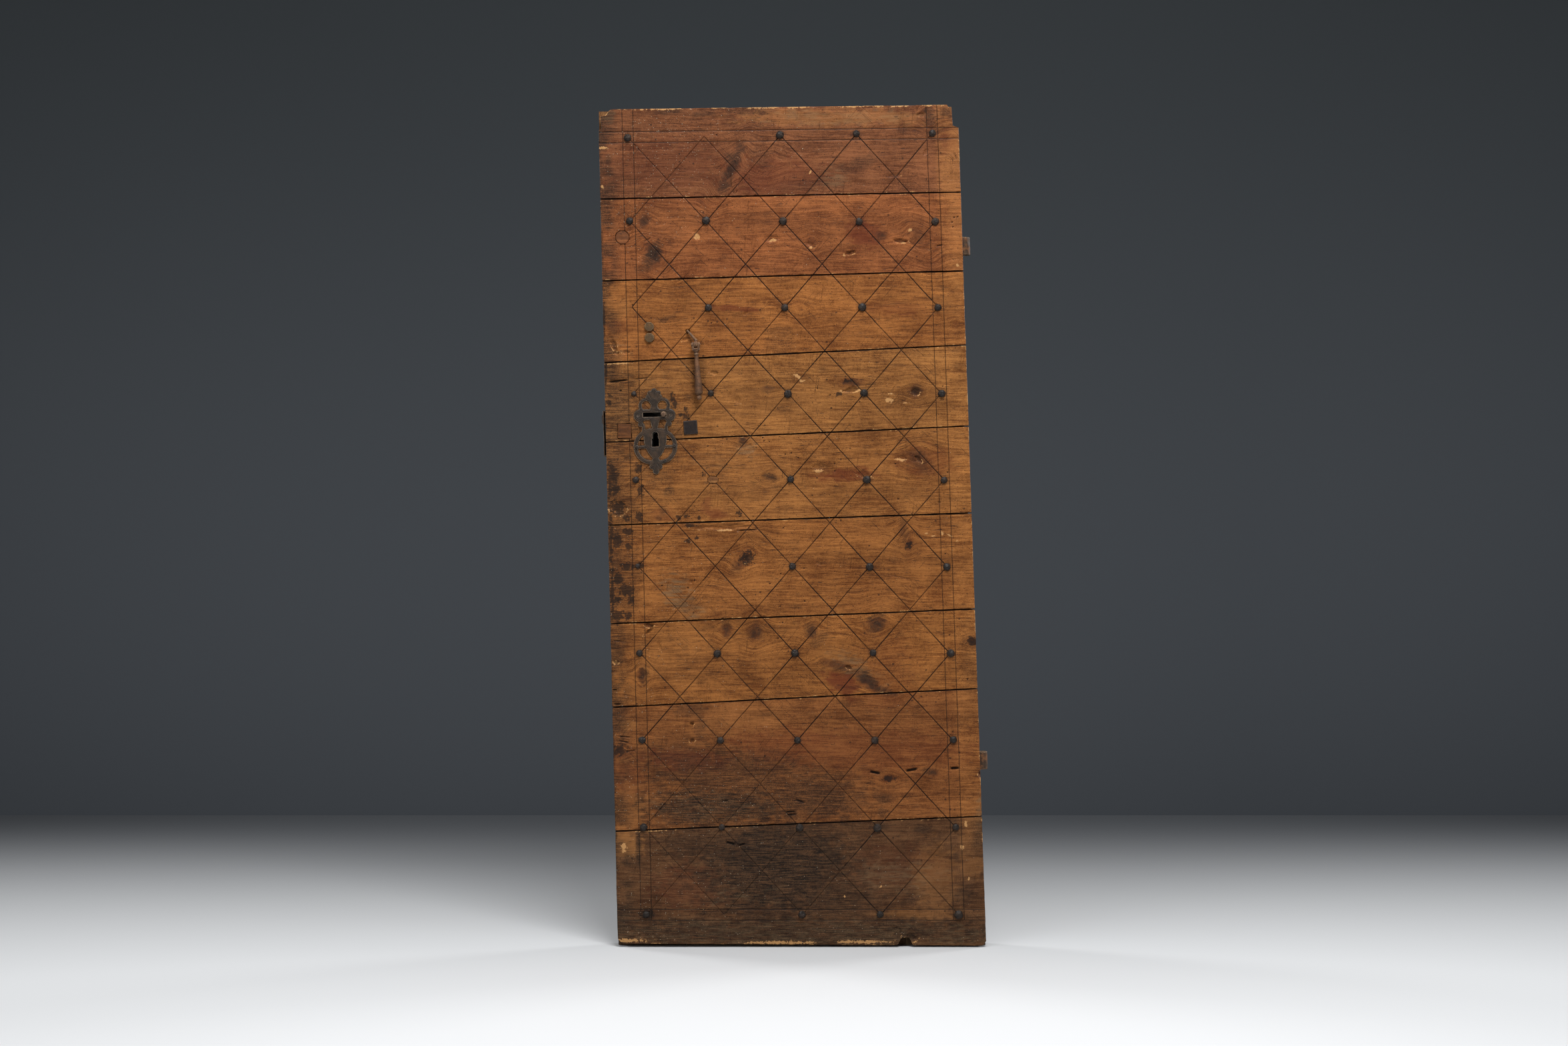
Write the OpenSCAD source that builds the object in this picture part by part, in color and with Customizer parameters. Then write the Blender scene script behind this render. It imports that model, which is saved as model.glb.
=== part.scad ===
// Old plank door leaf: level boards in front, upright planks behind, held together by clenched forged nails.
// The front has an incised diamond lattice, a pierced lock plate and a drop handle. The back has a rim lock
// and two strap hinges. The front looks along -Y. The origin is on the hinge axis, in the lower hinge eye.

/* [Leaf] */
// Height of the leaf at its hinge side
leaf_h = 1870; // [1800:1:2000]
// Width of the leaf at the floor
bottom_w = 818; // [780:1:900]
// Width of the leaf at its top edge
top_w = 799; // [760:1:880]
// Lean of the leaf towards its lock side, in degrees
lean = 1.65; // [0.5:0.05:2.5]
// Drop of the top edge at the lock side
top_drop = 11; // [0:1:30]
// Thickness of the front boards
board_t = 30; // [26:1:40]
// Thickness of the back planks
plank_t = 30; // [26:1:40]
// Open joint between neighbouring boards and planks
joint_gap = 2; // [0.5:0.5:4]
// Wear under the lowest front board at the lock side
lift_left = 8; // [1:1:15]
// Wear under the lowest front board at the hinge side
lift_right = 3; // [1:1:15]

/* [Lattice] */
// Width of an incised line
groove_w = 3; // [1.5:0.5:4]
// Middle of the double border line from the lock edge
left_band = 65; // [50:1:80]
// Middle of the double border line from the hinge edge
right_band = 59; // [50:1:80]
// Middle of the double border line below the top edge
top_band = 63; // [50:1:80]
// Middle of the double border line above the floor
bottom_band = 72; // [50:1:90]
// Distance between the two lines of the border
band_w = 24; // [18:1:30]

/* [Nails] */
// Width of a forged nail head
nail_head_w = 17; // [12:0.5:20]
// Height of a forged nail head
nail_head_h = 6; // [4:0.5:9]
// Side of the square nail shank
nail_shank = 6; // [4:0.5:8]
// Length of the clenched tip on the back
clench_l = 24; // [15:1:35]

/* [Lock] */
// Keyhole from the lock edge
lock_inset = 110; // [95:1:130]
// Height of the keyhole above the floor
lock_z = 1138; // [1100:1:1180]
// Height of the pierced lock plate
plate_h = 194; // [180:1:210]
// Thickness of the pierced lock plate
plate_t = 3; // [2:0.5:5]
// Length of the slot for the latch knob
slot_l = 52; // [46:1:58]
// Height of the slot for the latch knob
slot_h = 10; // [9:0.5:12]
// Radius of the round top of the keyhole
keyhole_r = 6.2; // [5:0.2:7]
// Width of the foot of the keyhole
keyhole_w = 16; // [13:0.5:18]
// Depth of the keyhole below its round top
keyhole_d = 27; // [22:1:30]
// Depth of the lock case behind the planks
case_d = 40; // [34:1:50]
// Reach of the lock case past the lock edge
case_over = 9.5; // [7:0.5:14]
// Throw of the dead bolt
bolt_throw = 22; // [10:1:25]

/* [Handle] */
// Handle pin from the lock edge
handle_inset = 205; // [180:1:230]
// Height of the handle pin above the floor
handle_z = 1336; // [1320:1:1360]
// Length of the drop from its pin to its end
drop_l = 123; // [100:1:140]
// Tilt of the hanging drop, in degrees
drop_tilt = 3.9; // [0:0.1:6]
// Largest radius of the drop
drop_r = 9.2; // [7:0.2:11]
// Distance of the handle pin from the boards
pin_off = 16; // [14:0.5:22]

/* [Hinges] */
// Drop of the upper hinge eye below the top edge
upper_eye_drop = 307; // [290:1:330]
// Height of the lower hinge eye above the floor
lower_eye_z = 408; // [390:1:430]
// Height of a hinge eye
eye_h = 40; // [30:1:48]
// Outer radius of a hinge eye
eye_r = 15; // [13:0.5:18]
// Radius of the bore for the pintle
eye_bore_r = 8; // [6:0.5:10]
// Eye axis past the hinge edge
eye_out = 7; // [5:0.5:10]
// Length of a hinge strap
strap_l = 560; // [450:5:640]
// Thickness of a hinge strap
strap_t = 6; // [4:0.5:8]

/* [Hidden] */
$fn = 64;
over = 2;
leaf_t = board_t + plank_t;

// Board joints up the two edges, as shares of the leaf's height
joint_left_shares = [0.1376, 0.2845, 0.3838, 0.5006, 0.5990, 0.6936, 0.7906, 0.8877];
joint_right_shares = [0.1553, 0.3070, 0.4012, 0.5152, 0.6184, 0.7146, 0.8025, 0.8960];

// Worn and broken places of the leaf
right_notch_w = 14;
right_notch_h = 48;
left_notch_w = 7;
left_notch_h = 42;
corner_w = 11;
corner_shares = [[1, 0], [0.35, 0.25], [0.08, 0.62], [0, 1]];
bite_inset = 162;
bite_w = 40;
bite_h = 20;
bite_shares = [[0, 0], [0.08, 0.55], [0.34, 0.72], [0.55, 1], [0.78, 0.7], [1, 0]];
pocket_w = 30;
pocket_h = 20;
pocket_d = 13;
pocket_drop = 64;
pocket_shares = [[0, 0.1], [1, 0], [0.68, 1], [0, 0.82]];
chip_w = 10;
chip_h = 25;
chip_d = 16;
chip_z = 368;

// Lattice of nails, and the places where a nail is lost
cols = 5;
rows = 10;
lost = [[1, 0], [0, 2], [1, 4], [1, 5], [1, 9]];
falling_share = 1;
rising_share = 0.9;
side_share = 1.1;
level_share = 0.8;
lost_hole = 4.6;
lost_hole_d = 22;
scatter = 1.5;
row_bow = 4.5;
scatter_seed = 7;
nail_head_top_share = 0.42;
nail_head_sides = 8;
clench_t = 3;
plug_w = 24;
plug_h = 15;
plug_d = 10;

// Clearances
fit = 0.2;
slide = 0.3;

// Lock plate, with its ornament as shares of the plate's height
slot_share = 0.227;
slot_rim = 7;
lobe_shares = [0.165, 0.217, 0.075];
loop_shares = [0.091, 0.331, 0.09, 0.053];
stem_shares = [0.036, 0.43];
crown_share = 0.405;
crown_petals = [-70, -36, 0, 36, 70];
crown_petal_shares = [[0.076, 0.023], [0.082, 0.029], [0.088, 0.034], [0.082, 0.029], [0.076, 0.023]];
crown_disc_share = 0.068;
curl_shares = [0.163, 0.12, 0.03];
arm_shares = [[0.2, 0.17], [0.15, 0.17], [0.112, 0.1], [0.105, 0.02], [0.15, 0.02], [0.145, 0.1],
    [0.17, 0.13]];
neck_shares = [[0.058, 0.17], [0.033, 0.075], [0.033, 0.02], [-0.033, 0.02], [-0.033, 0.075], [-0.058, 0.17]];
shoulder_shares = [0.067, -0.003, 0.066];
flank_shares = [0.191, -0.041, 0.3215];
ring_shares = [0.042, -0.136, 0.207, 0.16];
bridge_shares = [0.11, 0.225, -0.158, -0.124];
knuckle_shares = [0, -0.305, 0.046];
foot_share = -0.345;
foot_petals = [118, 180, 242];
foot_petal_shares = [[0.05, 0.031], [0.074, 0.037], [0.05, 0.031]];
foot_disc_share = 0.045;
plate_pin = 2.6;
plate_pin_l = 18;
plate_pin_head_r = 3.8;
plate_pin_head_h = 2;
plate_pin_shares = [[-0.211, -0.14], [0.213, -0.133], [0.108, -0.303]];
sunk_pin_r = 2;
sunk_pin_shares = [0.187, 0.221];
sunk_pin_drop = 1.2;

// Rim lock behind the planks
case_wall = 3;
case_above = 59;
case_below = 45;
case_margin = 20;
guide_u = -48;
lug_w = 24;
lug_h = 16;
lug_shares = [0.2265, 0.73];
lug_nail = 4;
lug_nail_l = 24;
lug_nail_head_r = 5;
lug_nail_head_h = 3;
stay_u = 79;
stay_v = 13;
stay_head_w = 31;
stay_head_t = 3;
stay_turn = -3;
stay_shank = 9;
stay_rivet_r = 8;
latch_h = 19;
latch_drop = 14;
latch_tip = 3;
latch_tail = 34;
bolt_t = 12;
bolt_y = 9;
dead_h = 14;
bolt_gap = 3;
tail_hold = 16;
talon_w = 16;
talon_h = 5;
stud_r = 4.2;
stud_u = 20;
knob_r = 6.4;
knob_l = 11;
knob_gap = 0.5;
key_pin_r = 2.6;
key_pin_l = 26;
spring_t = 1.2;
spring_w = 8;
spring_l = 32;
spring_rise = 16;
spring_post = 6;

// Drop handle and its staple
pin_r = 2.5;
pin_fit = 0.1;
staple_r = 2.5;
staple_root_r = 3.4;
staple_knee = 0.4;
staple_eye_r = 7;
staple_eye_w = 7.6;
staple_bend_in = 4;
staple_bend_up = 10;
staple_up = 31;
staple_side = 18;
staple_lift = 4.5;
staple_leg = 24;
staple_leg_w = 4.4;
ear_t = 4.2;
ear_r = 6;
ear_gap = 0.6;
yoke_top = 8.5;
yoke_h = 8;
yoke_neck_r = 4.2;
yoke_foot_r = 5.4;
collar_r = 5.6;
collar_h = 5;
collar_drop = 18.5;
ball_r = 5.8;
drop_neck_r = 3.4;
drop_shoulder = 5;
pin_head_r = 4;
pin_head_t = 1.4;

// Inlays and bolts in the front boards
bung_inset = 47.5;
bung_drop = 284;
bung_r = 15;
bung_d = 18;
bung_sunk = 1;
patch_inset = 42;
patch_rise = 7;
patch_w = 30;
patch_h = 32;
patch_d = 12;
stud_bolt_inset = 102.5;
stud_bolt_rise = 226.5;
stud_bolt_pitch = 24.6;
stud_bolt_w = 22;
stud_bolt_sides = 8;
stud_bolt_head_h = 5;
stud_bolt_shank = 9;
stud_bolt_end_r = 8;
stud_bolt_end_h = 3;

// Strap hinges
strap_tip_w = 24;
strap_end_r = 19;
strap_nails = 5;
strap_nail = 5;
strap_nail_head_r = 7.5;
strap_nail_head_h = 4;
strap_nail_bite = 12;
strap_margin = 48;

// Edges of the leaf at a height
function half_w(z) = (bottom_w + (top_w - bottom_w) * z / leaf_h) / 2;
function left_x(z) = -z * tan(lean) - half_w(z);
function right_x(z) = -z * tan(lean) + half_w(z);

// Heights of the board joints up the two edges, from the floor to the top
boards = len(joint_left_shares) + 1;
left_zs = concat([lift_left], joint_left_shares * leaf_h, [leaf_h - top_drop]);
right_zs = concat([lift_right], joint_right_shares * leaf_h, [leaf_h]);

// Nail places, by column from the lock side and row from the top
row_pitch = (leaf_h - top_drop / 2 - top_band - bottom_band) / (rows - 1);
function row_z(k) = bottom_band + k * row_pitch + row_bow * sin(180 * k / (rows - 1));
function nail_z(c, r) = r > 0 ? row_z(rows - 1 - r)
    : leaf_h - top_drop * (1 - c / (cols - 1)) - top_band;
function col_x(c, z) = left_x(z) + left_band
    + c * (2 * half_w(z) - left_band - right_band) / (cols - 1);
function nail_at(c, r) = [col_x(c, nail_z(c, r)), nail_z(c, r)];
jitter = rands(-scatter, scatter, 2 * rows * cols, scatter_seed);
function nail_place(c, r) = nail_at(c, r) + [jitter[c * rows + r], jitter[(cols + c) * rows + r]];
function is_lost(c, r) = len([for (k = lost) if (k == [c, r]) k]) > 0;
nail_keys = [for (c = [0 : cols - 1], r = [0 : rows - 1]) if (!is_lost(c, r)) [c, r]];

// Incised lines, each from one end to the other, with its share of the groove's width
diagonals = [for (c = [0 : cols - 2], r = [0 : rows - 2])
    each [[nail_at(c, r), nail_at(c + 1, r + 1), falling_share],
        [nail_at(c + 1, r), nail_at(c, r + 1), rising_share]]];
function upright(x0, x1) = [[x0, 0], [x1, leaf_h], side_share];
function side_line(c, off) = upright(col_x(c, 0) + off, col_x(c, leaf_h) + off);
side_lines = [for (c = [0, cols - 1], off = [-band_w / 2, band_w / 2]) side_line(c, off)];
function level(zl, zr) = [[left_x(zl) - over, zl], [right_x(zr) + over, zr], level_share];
top_lines = [for (off = [-band_w / 2, band_w / 2])
    level(leaf_h - top_drop - top_band + off, leaf_h - top_band + off)];
bottom_lines = [for (off = [-band_w / 2, band_w / 2]) level(bottom_band + off, bottom_band + off)];
lines = concat(diagonals, side_lines, top_lines, bottom_lines);

// Places of the fittings
lock_x = left_x(lock_z) + lock_inset;
slot_v = slot_share * plate_h;
latch_v = slot_v - latch_drop;
dead_v = latch_v - bolt_gap - dead_h;
dead_tail = tail_hold + bolt_throw;
case_left = -lock_inset - case_over;
case_right = stay_u + case_margin;
handle_x = left_x(handle_z) + handle_inset;
bung_z = leaf_h - top_drop - bung_drop;
patch_z = lock_z + patch_rise;
stud_bolt_z = lock_z + stud_bolt_rise;
hinge_tilt = atan2(right_x(leaf_h) - right_x(0), leaf_h);
upper_eye_z = leaf_h - upper_eye_drop;
eye_y = leaf_t + eye_r;
function eye_x(z) = right_x(z) + eye_out;
strap_step = (strap_l - 2 * strap_margin) / (strap_nails - 1);
drop_len = drop_l - 2 * ball_r;

// Frames: the whole leaf on its hinge axis, the lock at its keyhole, the drop at its pin, an eye on its axis
module hung() translate([-eye_x(lower_eye_z), -eye_y, -lower_eye_z]) children();
module at_lock() translate([lock_x, 0, lock_z]) rotate([0, -lean, 0]) children();
module at_pin() translate([handle_x, -pin_off, handle_z]) rotate([0, -drop_tilt, 0]) children();
module at_eye(z) translate([eye_x(z), eye_y, z]) rotate([0, hinge_tilt, 0]) children();

// A flat outline in X and Z, thickened from y towards the back
module slab(y, t) translate([0, y + t, 0]) rotate([90, 0, 0]) linear_extrude(t) children();
// A square bar from y towards the back
module bar(side, y, l) translate([-side / 2, y, -side / 2]) cube([side, l, side]);
// A round bar from y towards the back
module peg(r, y, l) translate([0, y, 0]) rotate([-90, 0, 0]) cylinder(h = l, r = r);
// A round rod between two points, from one radius to another
module rod(p, q, r1, r2) {
    d = q - p;
    translate(p) rotate([0, acos(d.z / norm(d)), atan2(d.y, d.x)]) cylinder(h = norm(d), r1 = r1, r2 = r2);
}
module place(p) translate([p.x, 0, p.y]) children();
module both_sides() {
    children();
    mirror([1, 0]) children();
}

// One incised line: a square bar on edge, half sunk in the boards
module groove(line) {
    d = line[1] - line[0];
    s = line[2] * groove_w / sqrt(2);
    place(line[0]) rotate([0, -atan2(d.y, d.x), 0]) rotate([45, 0, 0])
        translate([0, -s / 2, -s / 2]) cube([norm(d), s, s]);
}

module nail_hole(key) place(nail_place(key[0], key[1])) bar(nail_shank, -over, leaf_t + 2 * over);
module strap_nail_places(z)
    for (i = [0 : strap_nails - 1]) place([right_x(z) - strap_margin - i * strap_step, z]) children();
module bolt_places()
    for (s = [-0.5, 0.5]) {
        z = stud_bolt_z + s * stud_bolt_pitch;
        place([left_x(z) + stud_bolt_inset, z]) children();
    }
module bung_place() place([left_x(bung_z) + bung_inset, bung_z]) children();
module patch_place() place([left_x(patch_z) + patch_inset, patch_z]) children();
module plug_place() place(nail_at(1, 4)) children();
module staple_leg_place() place([handle_x - staple_side, handle_z + staple_up]) children();
module sunk_pin_places()
    for (s = [-1, 1]) place([s * sunk_pin_shares[0], sunk_pin_shares[1]] * plate_h) children();
module plate_pin_places() for (p = plate_pin_shares) place(p * plate_h) children();
module lug_nail_places()
    for (s = lug_shares, v = [case_above + lug_h / 2, -case_below - lug_h / 2])
        place([case_left + s * (case_right - case_left), v]) children();

module keyhole_outline() {
    circle(keyhole_r);
    translate([-keyhole_r, -keyhole_d / 2]) square([2 * keyhole_r, keyhole_d / 2]);
    translate([-keyhole_w / 2, -keyhole_d]) square([keyhole_w, keyhole_d * 2 / 3]);
}
module slot_outline() translate([-slot_l / 2, slot_v - slot_h / 2]) square([slot_l, slot_h]);
module plug_outline(grow) {
    r = plug_h / 2;
    for (s = [-1, 1]) translate([s * (plug_w / 2 - r), 0]) circle(r + grow);
    translate([-plug_w / 2 + r, -r - grow]) square([plug_w - plug_h, plug_h + 2 * grow]);
}

// What the lock, the handle, the hinges and the inlays take out of the wood
module lock_cuts() at_lock() {
    slab(-over, leaf_t + 2 * over) keyhole_outline();
    slab(-over, leaf_t + 2 * over) slot_outline();
    place([stay_u, stay_v]) bar(stay_shank, -over, leaf_t + 2 * over);
    sunk_pin_places() peg(sunk_pin_r, -over, plate_pin_l + over);
    plate_pin_places() bar(plate_pin, -over, plate_pin_l + over);
    lug_nail_places() bar(lug_nail, leaf_t - lug_nail_l, lug_nail_l + over);
}
module hinge_cuts() for (z = [upper_eye_z, lower_eye_z])
    strap_nail_places(z) bar(strap_nail, board_t - strap_nail_bite, plank_t + strap_nail_bite + over);
module inlay_cuts() {
    bung_place() peg(bung_r + fit, -over, bung_d + over);
    patch_place() bar_box(patch_w + 2 * fit, patch_h + 2 * fit, -over, patch_d + over);
    plug_place() slab(-over, plug_d + over) plug_outline(fit);
    bolt_places() bar(stud_bolt_shank, -over, leaf_t + 2 * over);
    staple_leg_place() bar(staple_leg_w, -over, staple_leg + over);
}
module bar_box(w, h, y, d) translate([-w / 2, y, -h / 2]) cube([w, d, h]);

// Notches of the two top corners, in X and Z
module right_notch() {
    z = leaf_h - right_notch_h;
    translate([right_x(z) - right_notch_w, z]) square([right_notch_w + over, right_notch_h + over]);
}
module left_notch() {
    z = leaf_h - top_drop - left_notch_h;
    translate([left_x(z) - over, z]) square([left_notch_w + over, left_notch_h + over]);
}
module worn_corner() polygon(concat([[-over, -over], [corner_w, -over]], corner_shares * corner_w,
    [[-over, corner_w]]));
module bottom_wear() {
    translate([left_x(lift_left), lift_left]) worn_corner();
    translate([right_x(lift_right), lift_right]) mirror([1, 0]) worn_corner();
    translate([right_x(0) - bite_inset - bite_w, lift_right / 2])
        polygon([for (p = bite_shares) [p.x * bite_w, p.y * bite_h]]);
}
module edge_pocket() {
    z = leaf_h - top_drop - pocket_drop - pocket_h;
    slab(-over, pocket_d + over) translate([left_x(z) - over, z])
        polygon([for (p = pocket_shares) [p.x * (pocket_w + over), p.y * pocket_h]]);
}
module edge_chip() translate([right_x(chip_z) - chip_w, -over, chip_z])
    cube([chip_w + over, chip_d + over, chip_h]);

// Front boards, counted from the top
module front_board(n) {
    i = boards - n;
    low = i > 0 ? joint_gap / 2 : 0;
    high = i < boards - 1 ? joint_gap / 2 : 0;
    zl = [left_zs[i] + low, left_zs[i + 1] - high];
    zr = [right_zs[i] + low, right_zs[i + 1] - high];
    z_min = min(zl[0], zr[0]);
    z_max = max(zl[1], zr[1]);
    hung() color("peru") difference() {
        slab(0, board_t) difference() {
            polygon([[left_x(zl[0]), zl[0]], [right_x(zr[0]), zr[0]],
                [right_x(zr[1]), zr[1]], [left_x(zl[1]), zl[1]]]);
            right_notch();
            left_notch();
            bottom_wear();
        }
        for (line = lines)
            if (min(line[0].y, line[1].y) < z_max && max(line[0].y, line[1].y) > z_min) groove(line);
        for (key = nail_keys) {
            z = nail_place(key[0], key[1]).y;
            if (z < z_max + nail_shank && z > z_min - nail_shank) nail_hole(key);
        }
        for (key = lost) place(nail_at(key[0], key[1])) bar(lost_hole, -over, lost_hole_d + over);
        lock_cuts();
        hinge_cuts();
        inlay_cuts();
        edge_pocket();
        edge_chip();
    }
}
module front_board_1() front_board(1);
module front_board_2() front_board(2);
module front_board_3() front_board(3);
module front_board_4() front_board(4);
module front_board_5() front_board(5);
module front_board_6() front_board(6);
module front_board_7() front_board(7);
module front_board_8() front_board(8);
module front_board_9() front_board(9);

// Back planks, counted from the lock side: the joints lie midway between the columns of nails
function plank_x(i, z) = i == 0 ? left_x(z) : i == cols ? right_x(z)
    : (col_x(i - 1, z) + col_x(i, z)) / 2;
function top_z(i) = leaf_h - top_drop * (1 - i / cols);
module back_plank(n) {
    low = n > 1 ? joint_gap / 2 : 0;
    high = n < cols ? joint_gap / 2 : 0;
    hung() color("saddlebrown") difference() {
        slab(board_t, plank_t) difference() {
            polygon([[plank_x(n - 1, 0) + low, 0], [plank_x(n, 0) - high, 0],
                [plank_x(n, top_z(n)) - high, top_z(n)], [plank_x(n - 1, top_z(n - 1)) + low, top_z(n - 1)]]);
            right_notch();
        }
        for (key = nail_keys) if (key[0] == n - 1) nail_hole(key);
        lock_cuts();
        hinge_cuts();
        bolt_places() bar(stud_bolt_shank, -over, leaf_t + 2 * over);
    }
}
module back_plank_1() back_plank(1);
module back_plank_2() back_plank(2);
module back_plank_3() back_plank(3);
module back_plank_4() back_plank(4);
module back_plank_5() back_plank(5);

// Forged nails: a hammered head, a square shank through both layers and a tip bent over on the planks
module forged_nail(turn, side) {
    r = nail_head_w / 2;
    rotate([90, 0, 0]) rotate(turn)
        cylinder(h = nail_head_h, r1 = r, r2 = r * nail_head_top_share, $fn = nail_head_sides);
    bar(nail_shank, 0, leaf_t + clench_t);
    translate([side > 0 ? 0 : -clench_l, leaf_t, -nail_shank / 2]) cube([clench_l, clench_t, nail_shank]);
}
module forged_nails() hung() color("dimgray") for (key = nail_keys)
    place(nail_place(key[0], key[1])) forged_nail(key[0] * key[1] * rows, key[1] % 2 - 0.5);

// Pierced lock plate: a slotted bar between arched loops and a heart-shaped shield in a ring
module dot(shares) translate([shares.x, shares.y] * plate_h) circle(shares.z * plate_h);
module share_polygon(shares) polygon(shares * plate_h);
module palmette(v, disc, turns, shares) translate([0, v * plate_h]) {
    circle(disc * plate_h);
    for (i = [0 : len(turns) - 1])
        rotate(turns[i]) translate([0, shares[i][0] * plate_h]) circle(shares[i][1] * plate_h);
}
module hoop(shares) difference() {
    translate([shares[0], shares[1]] * plate_h) circle(shares[2] * plate_h);
    translate([shares[0], shares[1]] * plate_h) circle(shares[3] * plate_h);
}
module slot_bar() translate([-slot_l / 2 - slot_rim, slot_v - slot_h / 2 - slot_rim])
    square([slot_l + 2 * slot_rim, slot_h + 2 * slot_rim]);
module stem() translate([-stem_shares[0] * plate_h, slot_v])
    square([2 * stem_shares[0] * plate_h, stem_shares[1] * plate_h - slot_v]);
module bridge() translate([bridge_shares[0], bridge_shares[2]] * plate_h)
    square([bridge_shares[1] - bridge_shares[0], bridge_shares[3] - bridge_shares[2]] * plate_h);
module shield() intersection() {
    translate([-flank_shares[0], flank_shares[1]] * plate_h) circle(flank_shares[2] * plate_h);
    translate([flank_shares[0], flank_shares[1]] * plate_h) circle(flank_shares[2] * plate_h);
    translate([-plate_h / 2, -plate_h]) square(plate_h);
}
module ring() difference() {
    both_sides() dot([ring_shares[0], ring_shares[1], ring_shares[2]]);
    both_sides() dot([ring_shares[0], ring_shares[1], ring_shares[3]]);
}
module plate_slab() slab(-plate_t, plate_t) children();
module plate_half() {
    plate_slab() hoop(loop_shares);
    plate_slab() dot(lobe_shares);
    plate_slab() dot(curl_shares);
    plate_slab() share_polygon(arm_shares);
    plate_slab() dot(shoulder_shares);
    plate_slab() bridge();
}
module plate_middle() {
    plate_slab() palmette(crown_share, crown_disc_share, crown_petals, crown_petal_shares);
    plate_slab() stem();
    plate_slab() slot_bar();
    plate_slab() share_polygon(neck_shares);
    plate_slab() shield();
    plate_slab() ring();
    plate_slab() dot(knuckle_shares);
    plate_slab() palmette(foot_share, foot_disc_share, foot_petals, foot_petal_shares);
}
module lock_plate() hung() at_lock() color("dimgray") difference() {
    union() {
        plate_half();
        mirror([1, 0, 0]) plate_half();
        plate_middle();
    }
    slab(-plate_t - over, plate_t + 2 * over) keyhole_outline();
    slab(-plate_t - over, plate_t + 2 * over) slot_outline();
    sunk_pin_places() peg(sunk_pin_r, -plate_t - over, plate_t + 2 * over);
    plate_pin_places() bar(plate_pin, -plate_t - over, plate_t + 2 * over);
}
module plate_pins() hung() at_lock() color("gray") {
    sunk_pin_places() peg(sunk_pin_r - fit, -plate_t + sunk_pin_drop, plate_t - sunk_pin_drop + plate_pin_l);
    plate_pin_places() {
        peg(plate_pin_head_r, -plate_t - plate_pin_head_h, plate_pin_head_h);
        bar(plate_pin, -plate_t, plate_t + plate_pin_l);
    }
}

// Rim lock: an iron case open towards the planks, with a guide for the two bolts
module bolt_bar(u0, u1, v, h, grow) translate([u0, leaf_t + bolt_y - grow, v - grow])
    cube([u1 - u0, bolt_t + 2 * grow, h + 2 * grow]);
module lock_case() hung() at_lock() color("dimgray") difference() {
    union() {
        difference() {
            translate([case_left, leaf_t, -case_below])
                cube([case_right - case_left, case_d, case_above + case_below]);
            translate([case_left + case_wall, leaf_t - over, case_wall - case_below])
                cube([case_right - case_left - 2 * case_wall, case_d - case_wall + over,
                    case_above + case_below - 2 * case_wall]);
        }
        translate([guide_u, leaf_t, -case_below]) cube([case_wall, case_d, case_above + case_below]);
        lug_nail_places() bar_box(lug_w, lug_h, leaf_t, case_wall);
    }
    bolt_bar(case_left - over, 0, latch_v, latch_h, slide);
    bolt_bar(case_left - over, 0, dead_v, dead_h, slide);
    lug_nail_places() bar(lug_nail, leaf_t - over, case_wall + 2 * over);
    place([stay_u, stay_v]) bar(stay_shank, leaf_t, case_d + over);
}
module lock_case_nails() hung() at_lock() color("gray") lug_nail_places() {
    bar(lug_nail, leaf_t - lug_nail_l, lug_nail_l + case_wall);
    peg(lug_nail_head_r, leaf_t + case_wall, lug_nail_head_h);
}
module lock_stay_bolt() hung() at_lock() color("dimgray") place([stay_u, stay_v]) {
    rotate([0, stay_turn, 0]) bar(stay_head_w, -stay_head_t, stay_head_t);
    bar(stay_shank, -stay_head_t, stay_head_t + leaf_t + case_d);
    peg(stay_rivet_r, leaf_t + case_d, stay_head_t);
}

// Latch bolt with the stud that comes through the slot, and the dead bolt that the key throws
module latch_bolt() hung() at_lock() color("gray") {
    bolt_bar(case_left - latch_tip, latch_tail, latch_v, latch_h, 0);
    place([stud_u, slot_v]) peg(stud_r, -plate_t - knob_gap, plate_t + knob_gap + leaf_t + bolt_y);
}
module latch_knob() hung() at_lock() color("darkgray") place([stud_u, slot_v])
    translate([0, -plate_t - knob_gap, 0]) rotate([90, 0, 0]) {
        cylinder(h = knob_l - knob_r / 2, r1 = stud_r, r2 = knob_r);
        translate([0, 0, knob_l - knob_r / 2]) cylinder(h = knob_r / 2, r1 = knob_r, r2 = stud_r);
    }
module dead_bolt() hung() at_lock() color("gray") difference() {
    bolt_bar(case_left, dead_tail, dead_v, dead_h, 0);
    translate([-talon_w / 2, leaf_t, dead_v - over]) cube([talon_w, case_d, talon_h + over]);
}
module key_pin() hung() at_lock() color("silver")
    peg(key_pin_r, leaf_t + case_d - case_wall - key_pin_l, key_pin_l);
module bolt_spring() hung() at_lock() color("silver")
    translate([0, leaf_t + bolt_y, dead_v + dead_h + slide]) {
        post_u = dead_tail + sqrt(spring_l * spring_l - spring_rise * spring_rise) - spring_post;
        translate([dead_tail - spring_w, 0, 0]) cube([spring_w, bolt_t, spring_t]);
        translate([dead_tail - spring_t, 0, spring_t / 4]) rotate([0, -asin(spring_rise / spring_l), 0])
            cube([spring_l, bolt_t, spring_t]);
        translate([post_u, 0, spring_rise - spring_post / 2])
            cube([spring_post, case_d - case_wall - bolt_y, spring_post]);
    }

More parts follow.
